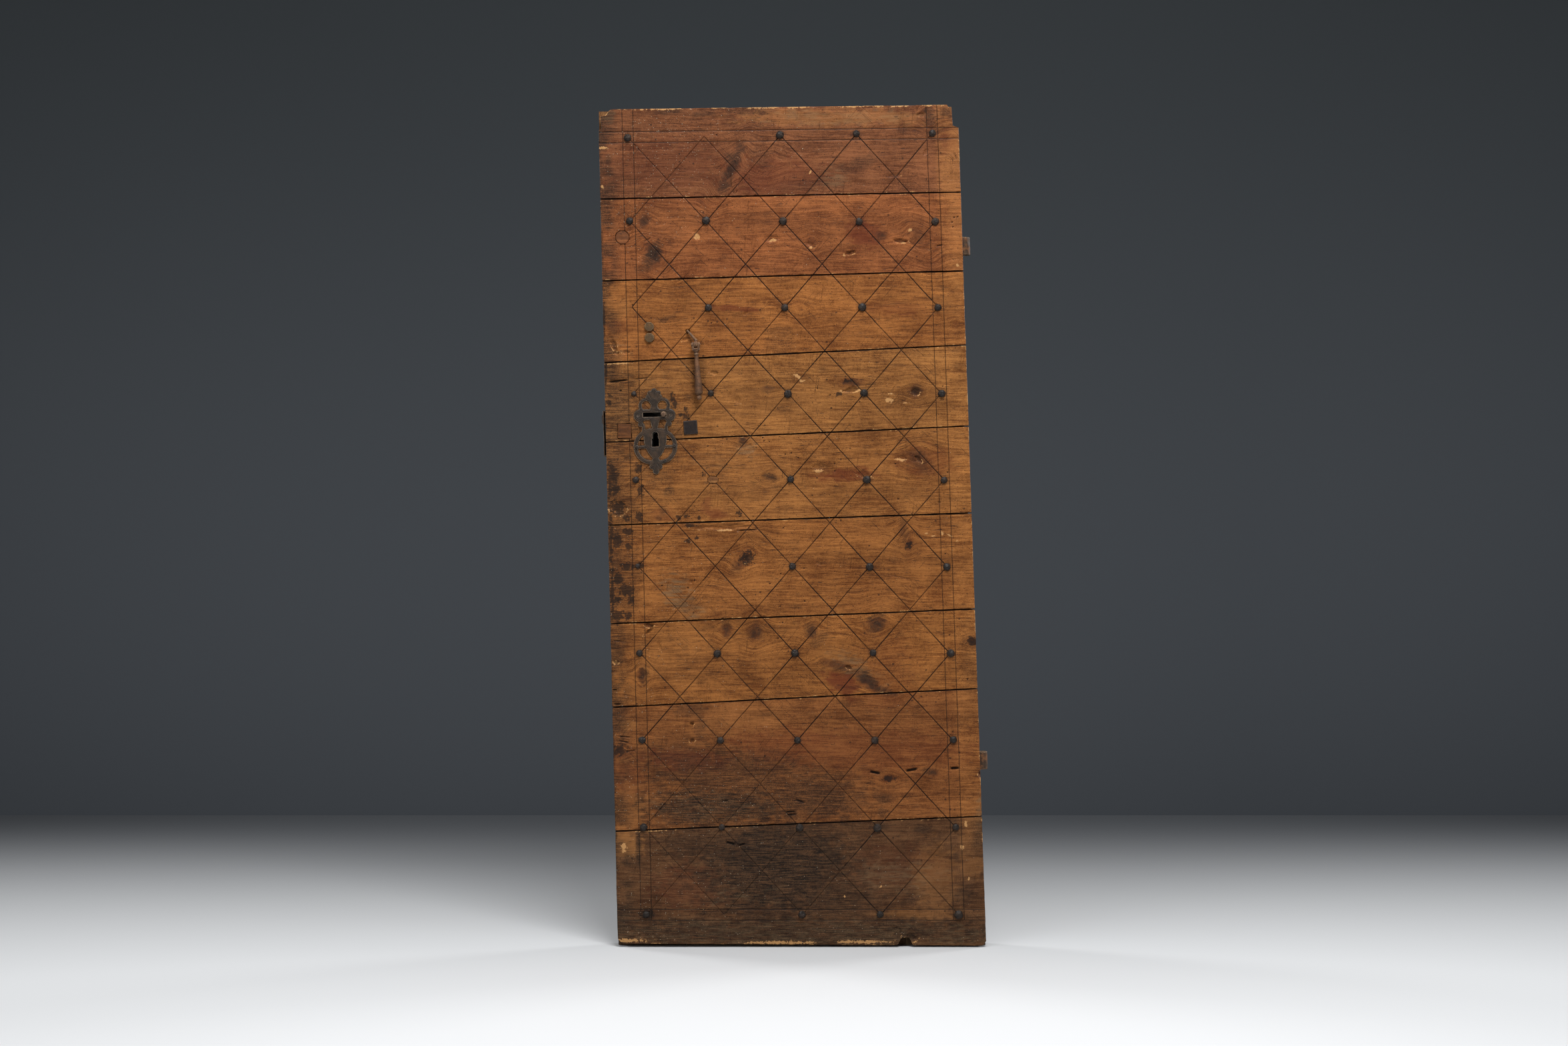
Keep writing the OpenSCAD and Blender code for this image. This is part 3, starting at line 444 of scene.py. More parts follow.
# Marks, given in pixels of the photograph: middle, half width, half height and turn in degrees.
# A sixth number is a strength, or a gouge's depth in mm; slits have two ends, half width and depth in mm.
SHADE_MARKS = (
    # The first mark, round the lock plate, is partly dirt and partly a painted shadow of the plate.
    (980, 652, 38, 74, 0, 0.5), (928, 630, 28, 76, 0, 0.72), (1047, 560, 10, 44, 0, 0.3),
    (1098, 250, 8, 34, -22, 0.75), (1086, 276, 8, 14, -10, 0.7), (1000, 166, 22, 5, 0, 0.7),
    (1058, 170, 20, 5, 5, 0.55), (1122, 167, 30, 5, 0, 0.5), (1418, 167, 12, 9, 0, 0.6),
    (1393, 172, 9, 14, 10, 0.55), (1110, 221, 7, 9, 30, 0.6), (1096, 240, 9, 14, 35, 0.65),
    (1140, 236, 12, 16, 40, 0.35), (1290, 243, 30, 9, 18, 0.45), (1205, 278, 40, 10, 4, 0.25),
    (978, 381, 11, 20, -25, 0.85), (966, 331, 10, 10, 0, 0.55), (966, 403, 14, 5, 8, 0.5),
    (1320, 353, 9, 7, 0, 0.45), (1375, 352, 12, 14, 20, 0.35), (918, 484, 16, 7, 0, 0.35),
    (917, 536, 11, 6, 0, 0.6), (998, 478, 14, 4, 22, 0.5), (1168, 508, 22, 18, 30, 0.3),
    (914, 562, 6, 9, 0, 0.6), (918, 632, 5, 6, 0, 0.6), (1033, 596, 4, 4, 0, 0.5),
    (1016, 634, 5, 4, 0, 0.5), (1151, 583, 9, 6, 0, 0.5), (1113, 661, 6, 6, 0, 0.65),
    (1372, 586, 10, 9, 0, 0.6), (1155, 714, 11, 6, -15, 0.65), (918, 684, 8, 8, 0, 0.5),
    (1003, 736, 8, 8, 0, 0.6), (994, 768, 6, 8, 0, 0.45), (988, 776, 5, 4, 0, 0.5),
    (1378, 692, 22, 14, -35, 0.5), (944, 834, 4, 3, 0, 0.6), (1103, 850, 9, 8, 0, 0.4),
    (1032, 907, 14, 12, 0, 0.35), (1355, 795, 7, 18, 10, 0.4), (1133, 947, 11, 12, 0, 0.5),
    (1216, 945, 9, 12, 15, 0.6), (1228, 958, 16, 8, 40, 0.45), (1088, 941, 8, 12, 0, 0.45),
    (1313, 934, 14, 13, 25, 0.65), (1300, 1018, 18, 9, -40, 0.8), (1258, 1000, 24, 8, -25, 0.45),
    (1322, 1034, 22, 6, -18, 0.6), (965, 1011, 7, 15, 0, 0.6), (925, 940, 8, 6, 0, 0.6),
    (940, 950, 16, 9, 0, 0.35), (1035, 1064, 22, 10, 0, 0.45), (1050, 1090, 8, 18, 0, 0.4),
    (1395, 1157, 12, 5, -10, 0.6), (1030, 1137, 70, 22, -4, 0.45), (1100, 1165, 130, 40, -4, 0.66),
    (1080, 1208, 120, 34, 0, 0.85), (1210, 1195, 80, 38, 0, 0.74), (1290, 1190, 10, 6, 0, 0.5),
    (1325, 1197, 16, 8, 0, 0.6), (1322, 1218, 7, 8, 0, 0.55), (1160, 1300, 115, 80, 0, 0.9),
    (1060, 1265, 70, 25, 0, 0.55), (1230, 1350, 90, 40, 0, 0.62), (957, 1270, 4, 28, 0, 0.75),
    (1384, 1243, 14, 6, 0, 0.5), (1468, 1250, 10, 30, 0, 0.6), (1320, 1239, 15, 5, 0, 0.6),
    (1443, 1340, 16, 14, 0, 0.45), (1200, 1397, 340, 22, 0, 0.72), (930, 1385, 30, 26, 0, 0.4),
    (1370, 1345, 20, 10, 25, 0.45), (1460, 1400, 40, 20, 0, 0.4), (960, 260, 90, 120, 0, 0.14),
    (1456, 975, 16, 60, 0, 0.3), (1100, 1200, 160, 44, 0, 0.2), (932, 745, 24, 44, 0, 0.5),
    (934, 860, 24, 66, 0, 0.45),
)
BURN_AND_EDGE_SHADE_MARKS = (
    (914, 593, 5, 4, 0), (913, 604, 4, 6, 0), (1007, 590, 3, 4, 0), (1008, 598, 4, 5, 0),
    (1011, 606, 5, 6, 0), (1028, 614, 4, 5, 0), (1029, 624, 6, 5, 0), (1020, 622, 3, 3, 0),
    (1270, 571, 7, 3, 0), (1258, 591, 5, 3, 0), (919, 712, 8, 14, 10), (922, 734, 8, 9, 0),
    (926, 761, 12, 13, 0), (940, 775, 6, 6, 0), (958, 774, 6, 8, 0), (960, 735, 5, 10, 0),
    (957, 702, 6, 9, 0), (1054, 711, 3, 4, 0), (1017, 776, 4, 4, 0), (1029, 774, 4, 4, 0),
    (1048, 777, 3, 3, 0), (1107, 769, 5, 5, 0), (925, 812, 8, 12, 0), (940, 797, 9, 5, 0),
    (942, 820, 5, 7, 0), (940, 849, 12, 6, 0), (959, 848, 8, 5, 0), (926, 867, 8, 9, 0),
    (938, 886, 14, 10, 0), (945, 899, 6, 8, 0), (926, 900, 5, 6, 0), (927, 922, 9, 9, 0),
    (941, 923, 6, 7, 0), (1031, 811, 5, 3, 0), (1044, 806, 4, 3, 20), (1035, 788, 11, 3, 0),
    (1120, 836, 13, 10, 35), (1362, 818, 5, 6, 0), (1457, 961, 9, 7, 0), (928, 1124, 11, 10, 0),
    # The long thin marks along the lock edge, from (914, 720) on, are partly dirt, partly painted shade of the
    # rounded edge.
    (1332, 1167, 10, 5, 0), (970, 1370, 11, 8, 0), (914, 720, 3, 30, 0), (916, 800, 3, 50, 0),
    (918, 885, 3, 40, 0), (905, 480, 2, 30, 0), (908, 560, 2, 20, 0),
)
RED_MARKS = (
    (1296, 352, 24, 18, -20, 0.6), (1100, 462, 34, 4, -2, 0.6), (1345, 463, 40, 9, 0, 0.3),
    (1268, 711, 42, 9, 6, 0.65), (1074, 770, 14, 9, 0, 0.6), (1058, 757, 7, 12, -20, 0.5),
    (995, 772, 18, 10, 0, 0.35), (1390, 692, 40, 22, 0, 0.35), (1262, 1023, 26, 16, -32, 0.75),
    (1030, 1140, 60, 16, -5, 0.55), (1180, 1120, 80, 26, 0, 0.35), (1300, 1125, 150, 30, 0, 0.28),
    (1160, 265, 70, 28, 0, 0.38), (1420, 210, 10, 16, 0, 0.35), (925, 487, 20, 9, 0, 0.3),
    (1350, 1300, 70, 30, 0, 0.15), (1030, 1330, 50, 30, 0, 0.25), (940, 1170, 26, 30, 0, 0.3),
    (1020, 300, 60, 12, 0, 0.2), (1000, 245, 90, 36, 0, 0.28), (1330, 1010, 40, 50, 0, 0.2),
)
GREY_MARKS = (
    (912, 173, 9, 10, 0, 0.55), (1250, 176, 130, 11, 0, 0.4), (1250, 266, 20, 16, 0, 0.4),
    (1015, 885, 20, 26, 20, 0.6), (1040, 915, 16, 12, 0, 0.45), (1119, 672, 14, 14, -30, 0.5),
    (1280, 1000, 40, 14, -28, 0.45), (1060, 1210, 80, 22, 0, 0.4), (1200, 1400, 320, 18, 0, 0.55),
    (1090, 1335, 26, 2.4, 18, 0.75), (1118, 1342, 30, 2.4, 8, 0.75), (1145, 1350, 26, 2.4, -6, 0.7),
    (1080, 1350, 18, 2.2, 24, 0.6), (1160, 1332, 18, 2.4, 12, 0.6), (1345, 1312, 60, 22, 0, 0.4),
    (930, 1390, 28, 22, 0, 0.4), (1475, 1215, 12, 30, 0, 0.5), (1142, 1394, 14, 9, 0, 0.4),
    (926, 523, 16, 12, 0, 0.35), (1070, 690, 40, 30, 0, 0.12),
)
TAN_MARKS = (
    (937, 1264, 20, 22, 0, 0.42), (945, 1210, 22, 40, 0, 0.21), (925, 465, 22, 18, 0, 0.18),
    (928, 608, 20, 20, 0, 0.24), (1250, 176, 130, 12, 0, 0.21), (1405, 1318, 30, 50, 0, 0.15),
    (1455, 1298, 20, 16, 0, 0.16), (1380, 1371, 50, 8, 0, 0.2), (1130, 620, 90, 40, 0, 0.11),
    (1120, 730, 90, 40, 0, 0.11), (1020, 980, 60, 40, 0, 0.09), (1110, 1075, 70, 24, 0, 0.12),
    (940, 1087, 12, 8, 0, 0.30), (1430, 250, 20, 60, 0, 0.18), (1440, 370, 18, 70, 0, 0.15),
    (1100, 560, 40, 18, 0, 0.12),
)
PALE_MARKS = (
    (1196, 564, 6.75, 2.25, -30), (1202, 571, 3.75, 1.5, 10), (1333, 600, 6, 3, -8),
    (1335, 590, 4.5, 1.5, 0), (1357, 604, 5.25, 0.9, 4), (1286, 584, 4.5, 3, 0),
    (1044, 354, 4.5, 4.5, 20), (1158, 360, 6, 2.25, 0), (1364, 345, 2.25, 2.62, 0),
    (1435, 398, 2.25, 2.25, 0), (935, 1269, 4, 6, 0), (1447, 1236, 2.25, 3.75, 0),
    (1442, 1271, 2.25, 3.75, 20), (1452, 1318, 1.5, 3, 10), (1266, 1344, 1.0, 2.4, 20),
    (1320, 1329, 1.12, 2.25, -40), (922, 993, 3.75, 3, 0), (1227, 706, 6.75, 2.25, 0),
    (1350, 689, 7.5, 2.25, -8), (1300, 716, 6, 1.88, 0), (1215, 371, 4.5, 1.5, 0),
    (1354, 364, 4.5, 1.12, 0), (1388, 800, 2.25, 1.12, 0), (1400, 803, 4.5, 0.75, 10),
    (1412, 799, 1.5, 3, 20), (1424, 803, 6, 0.75, -30), (1434, 811, 3, 0.75, 0),
    (905, 222, 6.75, 1.88, 0), (1085, 795, 12, 1.5, 2), (1214, 258, 1.5, 3, -25), (903, 280, 2.25, 3, 0),
    (935, 1410, 30, 2.62, 0), (1170, 1413, 45, 2.25, 0), (1290, 1412, 37.5, 2.25, 0),
    (930, 545, 18, 1.2, 2.8), (975, 1246, 26, 0.7, 2.2),
)
FLECK_MARKS = (
    (985, 215, 90, 60, 0, 0.40), (960, 300, 70, 90, 0, 0.27), (1050, 250, 180, 110, 0, 0.088),
    (1010, 1100, 130, 100, 0, 0.13), (1040, 1190, 130, 70, 0, 0.23), (1000, 1320, 120, 110, 0, 0.19),
    (1010, 900, 60, 50, 0, 0.072), (1150, 1330, 250, 90, 0, 0.09), (1200, 1400, 320, 24, 0, 0.12),
    (1000, 860, 110, 80, 0, 0.043), (1180, 700, 320, 640, 0, 0.0043),
)
KNOTS = (
    (966, 331, 9, 9, 0, 0.9), (979, 381, 8, 20, 33, 0.95), (1320, 353, 9, 6, 20, 0.7),
    (1217, 361, 9, 10, -20, 0.6), (1378, 360, 10, 20, 30, 0.55), (1152, 582, 7, 4, 0, 0.7),
    (1114, 659, 6, 6, 0, 0.8), (1371, 586, 9, 9, 40, 0.8), (1276, 573, 18, 6, 0, 0.95),
    (1156, 714, 11, 6, 20, 0.6), (1114, 836, 9, 17, -35, 0.9), (1132, 950, 9, 13, -10, 0.75),
    (1217, 946, 7, 11, -25, 0.85), (1089, 945, 7, 10, 0, 0.8), (1313, 936, 12, 18, -40, 0.75),
    (1363, 814, 5, 10, -10, 0.85), (1262, 998, 26, 7, -18, 0.6), (1296, 1019, 12, 8, -30, 0.95),
    (1312, 1031, 22, 7, -24, 0.7), (962, 1012, 6, 12, 0, 0.8), (1094, 255, 8, 26, -28, 0.6),
    (1379, 682, 14, 14, 40, 0.6), (1457, 961, 6, 5, 0, 0.7), (1432, 485, 5, 5, 0, 0.6),
    (1391, 172, 7, 13, 10, 0.55), (928, 1125, 8, 8, 0, 0.7), (1199, 462, 9, 9, 0, 0.4),
    (1150, 242, 12, 16, -35, 0.3), (1352, 793, 7, 12, -10, 0.45), (1401, 1159, 11, 6, 0, 0.7),
    (1330, 1167, 10, 7, 0, 0.6), (1156, 714, 11, 6, 10, 0.5),
)
GOUGES = (
    (1070, 559, 5, 3, -15, 3.0), (1106, 600, 6, 5, 0, 1.6), (1276, 584, 12, 4, 8, 3.5),
    (1372, 587, 6, 5, -30, 3.0), (1228, 699, 10, 5, -8, 2.2), (1294, 711, 9, 6, -20, 2.4),
    (1376, 688, 7, 3, -45, 4.0), (1352, 687, 9, 4, -8, 2.0), (1350, 361, 10, 3, -6, 4.0),
    (1274, 379, 8, 3, 18, 4.0), (1214, 366, 8, 3, -15, 2.5), (1044, 352, 6, 7, 20, 1.6),
    (1158, 358, 9, 5, 10, 1.8), (920, 517, 4, 9, 20, 4.0), (923, 529, 4, 3, 0, 3.5),
    (938, 528, 5, 3, 10, 3.0), (926, 761, 12, 11, 0, 3.0), (973, 937, 6, 4, 0, 5.0),
    (972, 947, 9, 2.2, 40, 4.0), (988, 968, 2.2, 7, 20, 2.5), (923, 993, 4, 3, -10, 4.0),
    (1037, 1085, 3, 3, 0, 5.0), (1037, 1110, 4, 3.5, 0, 3.5), (1272, 1000, 5, 3, -30, 3.5),
    (1380, 172, 6, 3, 20, 3.0), (1036, 872, 2.5, 2.5, 0, 2.5), (1028, 508, 6, 2.5, 30, 2.0),
    (1031, 497, 3, 3, 0, 5.0), (1388, 228, 3, 6, -30, 1.8), (1340, 263, 10, 3, 4, 1.4),
    (1118, 470, 5, 2, 25, 1.3), (1228, 845, 6, 2, -25, 1.6), (1121, 838, 8, 5, 35, 1.8),
    (1119, 672, 11, 9, -30, 1.4), (1408, 753, 3, 2, 0, 2.2), (1371, 1342, 10, 4, 25, 1.5),
    (1085, 790, 38, 4, 1, 2.0), (1366, 1405, 9, 6, 0, 3.0), (1016, 1385, 30, 4, 4, 1.0),
    (954, 1245, 5, 3, 0, 2.0), (1470, 1160, 4, 5, 0, 8.0), (1090, 942, 5, 11, 0, 1.2),
    (1344, 1398, 6, 9, 0, 2.0),
)
SLITS = (
    (908, 573, 945, 569, 1.4, 4.0), (945, 569, 976, 566, 0.9, 2.0), (1302, 1156, 1321, 1160, 1.8, 5.0),
    (1356, 1156, 1377, 1152, 1.8, 5.0), (1423, 1152, 1439, 1151, 1.7, 5.0),
    (1087, 1262, 1103, 1266, 1.5, 4.0), (1106, 1268, 1118, 1264, 1.3, 3.5),
    (1176, 1217, 1194, 1216, 1.2, 3.0), (1178, 1222, 1196, 1220, 1.2, 3.0),
    (1402, 369, 1414, 367, 1.0, 2.5), (1099, 796, 1141, 793, 1.0, 2.5), (916, 960, 940, 962, 0.9, 2.0),
    (917, 1034, 926, 1034, 1.1, 3.0), (918, 1055, 932, 1056, 1.1, 3.0), (925, 1104, 948, 1105, 0.9, 2.0),
    (926, 1111, 946, 1113, 0.9, 2.0), (936, 1127, 955, 1124, 0.9, 2.0),
    (1190, 1198, 1208, 1204, 1.4, 3.0), (1080, 1202, 1092, 1200, 1.2, 2.5),
    (1095, 262, 1096, 284, 0.8, 1.2), (1096, 284, 1101, 292, 0.8, 1.2), (1101, 292, 1106, 284, 0.8, 1.2),
    (1106, 284, 1109, 262, 0.8, 1.2), (928, 586, 932, 585, 1.3, 3.0), (1186, 616, 1180, 660, 0.7, 0.8),
    (1180, 660, 1189, 715, 0.7, 0.8), (1212, 458, 1216, 495, 0.7, 0.7), (1284, 610, 1290, 628, 0.7, 0.8),
    (1398, 530, 1402, 552, 0.6, 0.6), (1318, 858, 1376, 871, 0.7, 0.8),
    (1228, 1080, 1240, 1088, 0.8, 1.0), (1186, 1020, 1190, 1006, 0.7, 0.8),
    (1090, 1054, 1096, 1034, 0.7, 0.8), (1145, 1010, 1147, 995, 0.7, 0.8),
    (1312, 866, 1330, 874, 0.7, 0.7), (1430, 228, 1434, 240, 1.0, 1.6), (1245, 236, 1252, 224, 0.8, 1.0),
    (965, 362, 976, 356, 1.0, 1.8), (1180, 1150, 1192, 1140, 0.8, 1.0), (1064, 723, 1070, 726, 0.8, 1.4),
    (1070, 726, 1078, 726, 0.8, 1.4), (1078, 726, 1083, 722, 0.8, 1.4), (1066, 729, 1073, 732, 0.8, 1.2),
    (1073, 732, 1081, 729, 0.8, 1.2),
)
ROUGH_MARKS = (
    (1060, 1210, 90, 26, 0, 1.0), (1290, 1012, 45, 14, -30, 1.0), (1119, 672, 16, 14, -30, 0.9),
    (926, 523, 16, 14, 0, 0.9), (1375, 690, 26, 14, -30, 0.8), (1012, 890, 22, 30, 0, 0.6),
    (1380, 360, 20, 22, 0, 0.7), (975, 392, 16, 18, 0, 0.8), (1393, 172, 10, 14, 0, 0.7),
    (1160, 1330, 150, 70, 0, 0.9), (1200, 1400, 320, 20, 0, 1.0), (1215, 362, 14, 14, 0, 0.6),
    (1425, 250, 14, 30, 0, 0.5), (930, 1310, 20, 60, 0, 0.4), (1468, 1230, 12, 60, 0, 0.5),
    (970, 404, 16, 8, 0, 0.8),
)
WORM_HOLES = (
    (1143, 656), (1145, 661), (1153, 662), (1177, 681), (1186, 679), (1196, 686), (1430, 326),
    (1427, 333), (1435, 325), (1428, 340), (1074, 202), (1173, 933), (1166, 957), (1244, 592),
    (1251, 695), (1251, 706), (1225, 582), (1417, 830), (1423, 952), (1428, 1097), (1346, 748),
    (1174, 791), (948, 457), (1041, 870), (992, 878), (1031, 881), (1066, 484), (1450, 1018), (1413, 579),
    (1420, 708), (1170, 860), (1154, 875), (1169, 909), (1342, 695), (1205, 852), (1206, 901),
)


LEFT_BAND, RIGHT_BAND, TOP_BAND, BOTTOM_BAND = 0.065, 0.059, 0.063, 0.072
NAIL_COLS, NAIL_ROWS, ROW_BOW = 5, 10, 0.0045
floor_z = LEAF_FOOT[1]
top_left, top_right = corner("front_board_1", -1, 1)[1], corner("front_board_1", 1, 1)[1]
row_pitch = ((top_left + top_right) / 2 - floor_z - TOP_BAND - BOTTOM_BAND) / (NAIL_ROWS - 1)


def nail_column(c, z):
    """Place across the leaf of a column of nails, at a height."""
    left, right = lock_edge(z) + LEFT_BAND, hinge_edge(z) - RIGHT_BAND
    return left + (right - left) * c / (NAIL_COLS - 1)


def nail_row(k, c):
    """Height of a row of nails, counted from the foot; the top row follows the top edge."""
    if k == NAIL_ROWS - 1:
        return top_left + (top_right - top_left) * c / (NAIL_COLS - 1) - TOP_BAND
    return floor_z + BOTTOM_BAND + k * row_pitch + ROW_BOW * math.sin(math.pi * k / (NAIL_ROWS - 1))


def lattice_lines():
    """Scribed lines as two ends, a strength and whether level: the diamonds and the double border."""
    found = []
    for k in range(NAIL_ROWS - 1):
        for c in range(NAIL_COLS - 1):
            for near, far in ((c, c + 1), (c + 1, c)):
                low, high = nail_row(k, near), nail_row(k + 1, far)
                found.append(((nail_column(near, low), low), (nail_column(far, high), high), 1.0, False))
    for half in (-BAND_WIDTH / 2, BAND_WIDTH / 2):
        for c in (0, NAIL_COLS - 1):
            low, high = floor_z + BOTTOM_BAND - BAND_WIDTH / 2, top_right
            foot, head = (nail_column(c, low) + half, low), (nail_column(c, high) + half, high)
            found.append((foot, head, 0.7, False))
        found.append(((lock_edge(top_left), top_left - TOP_BAND + half),
                      (hinge_edge(top_right), top_right - TOP_BAND + half), 0.9, True))
        found.append(((lock_edge(floor_z), floor_z + BOTTOM_BAND + half),
                      (hinge_edge(floor_z), floor_z + BOTTOM_BAND + half), 0.8, True))
    return found


FAINT_MARKS = ((978, 655, 46, 78, 0, 0.85), (1090, 1310, 190, 110, 0, 0.7), (1010, 900, 60, 50, 0, 0.55),
               (1010, 240, 120, 70, 0, 0.5), (1130, 1180, 190, 70, 0, 0.45), (1400, 1300, 70, 70, 0, 0.4))


def line_places(x, z):
    """Each point's place in the lattice, in diagonals, and its distances from the border's middles."""
    first, last = nail_column(0, z), nail_column(NAIL_COLS - 1, z)
    c = (x - first) / (last - first) * (NAIL_COLS - 1)
    heights = np.array([nail_row(k, 0) for k in range(NAIL_ROWS - 1)])
    k = np.interp(z, heights, np.arange(NAIL_ROWS - 1))
    top = top_left + (top_right - top_left) * c / (NAIL_COLS - 1) - TOP_BAND
    k = np.where(z > heights[-1], NAIL_ROWS - 2 + (z - heights[-1]) / (top - heights[-1]), k)
    k = np.where(z < heights[0], (z - heights[0]) / (heights[1] - heights[0]), k)
    inside = (c > 0) & (c < NAIL_COLS - 1) & (k > 0) & (k < NAIL_ROWS - 1)
    waver = 0.004 * noise(x, z, 0.05, 0.05, 165)
    strength = inside * (1 - patches(x, z, FAINT_MARKS, 0.5, 0.3, 167))
    strength = strength * (0.62 + 0.38 * smooth(0.6 + noise(x, z, 0.07, 0.05, 168)))
    lattice = np.stack([k + c + 10 + waver, k - c + 10 + waver, strength, 0 * x], -1)
    far = 1.0
    foot = floor_z + BOTTOM_BAND
    low = z < foot - BAND_WIDTH / 2 - 0.001
    share = (x - lock_edge(z)) / (hinge_edge(z) - lock_edge(z))
    sloping = top_left + (top_right - top_left) * share - TOP_BAND
    upright = [np.where(low, far, x - first), np.where(low, far, x - last)]
    border = np.stack(upright + [z - sloping, z - foot], -1)
    return lattice, border + 1 + 0.0004 * noise(x, z, 0.03, 0.03, 166)[..., None]


def scribe(x, z, lines):
    """Moves the nearest points of a grid onto the scribed lines, and says how strongly each is cut."""
    cut = np.zeros_like(x)
    cols, rows = x.shape
    for (x0, z0), (x1, z1), strength, level in lines:
        for k in range(cols if level else rows):
            track_x, track_z = (x[k, :], z[k, :]) if level else (x[:, k], z[:, k])
            if level:
                want = z0 + (z1 - z0) * (track_x - x0) / (x1 - x0)
                off = track_z - want
            else:
                want = x0 + (x1 - x0) * (track_z - z0) / (z1 - z0)
                off = track_x - want
            i = int(np.argmin(np.abs(off)))
            share = (track_x[i] - x0) / (x1 - x0) if level else (track_z[i] - z0) / (z1 - z0)
            if abs(off[i]) > BOARD_STEP or not -0.002 < share < 1.002 or not 2 < i < len(off) - 3:
                continue
            (track_z if level else track_x)[i] = want[i]
            here = (k, i) if level else (i, k)
            cut[here] = max(cut[here], strength)
    return cut


def slit_depth(x, z, marks):
    """Depth of the narrow cuts and cracks, and how dark they are."""
    depth, dark = np.zeros_like(x), np.zeros_like(x)
    for px0, py0, px1, py1, half_width, deep in marks:
        a, b = np.array([photo_x(px0), photo_z(py0)]), np.array([photo_x(px1), photo_z(py1)])
        if max(a[1], b[1]) < z.min() or min(a[1], b[1]) > z.max():
            continue
        t = np.clip(((x - a[0]) * (b - a)[0] + (z - a[1]) * (b - a)[1]) / ((b - a) ** 2).sum(), 0, 1)
        away = np.hypot(x - a[0] - t * (b - a)[0], z - a[1] - t * (b - a)[1]) / PIXEL
        inside = smooth(1.6 - away / half_width) * smooth(3 * np.minimum(t, 1 - t) + 0.15)
        depth = np.maximum(depth, inside * deep * MM)
        dark = np.maximum(dark, inside * min(0.8, 0.3 + deep / 9))
    return depth, dark


NAIL_REACH = 0.013
CLOSER = 0.0001
EDGE_WAVE, JOINT_WAVE, WEAR_FADE = 0.0009, 0.0006, 0.04
LOCK_NOTCH, HINGE_NOTCH, NOTCH_SLOPE, NOTCH_STEP = 0.006, 0.0125, 0.04, 0.003
CHAMFER_DEEP, CHAMFER_LONG, CORNER_DEEP, CORNER_LONG = 0.0145, 0.034, 0.006, 0.008
BITE_DEEP, BITE_HALF = 0.017, 0.013
LEFT_FOOT_DEEP, LEFT_FOOT_LONG, RIGHT_FOOT_DEEP, RIGHT_FOOT_LONG = 0.010, 0.016, 0.011, 0.014
SWELL, RIPPLE, TORN, LINE_DEPTH, MM = 0.0005, 0.0002, 0.0009, 0.0011, 0.001
ARRIS, ARRIS_VARIES, ARRIS_LEAST, CHIP = 0.0008, 0.0005, 0.0006, 0.003
WORM_DEEP, WORM_RADIUS = 0.0025, 0.0016
POCKET, POCKET_RIM, POCKET_SPARE = 1.02, 1.04, 0.002
INLAYS = {"round_bung": True, "square_patch": False, "nail_plug": True}


def groups_of(points, reach):
    """Middles of the groups that points fall into, a reach apart."""
    found = []
    for p in points:
        near = [g for g in found if np.abs(p - g[0]).max() < reach]
        if near:
            near[0].append(p)
        else:
            found.append([p])
    return [(np.min(g, 0) + np.max(g, 0)) / 2 for g in found]


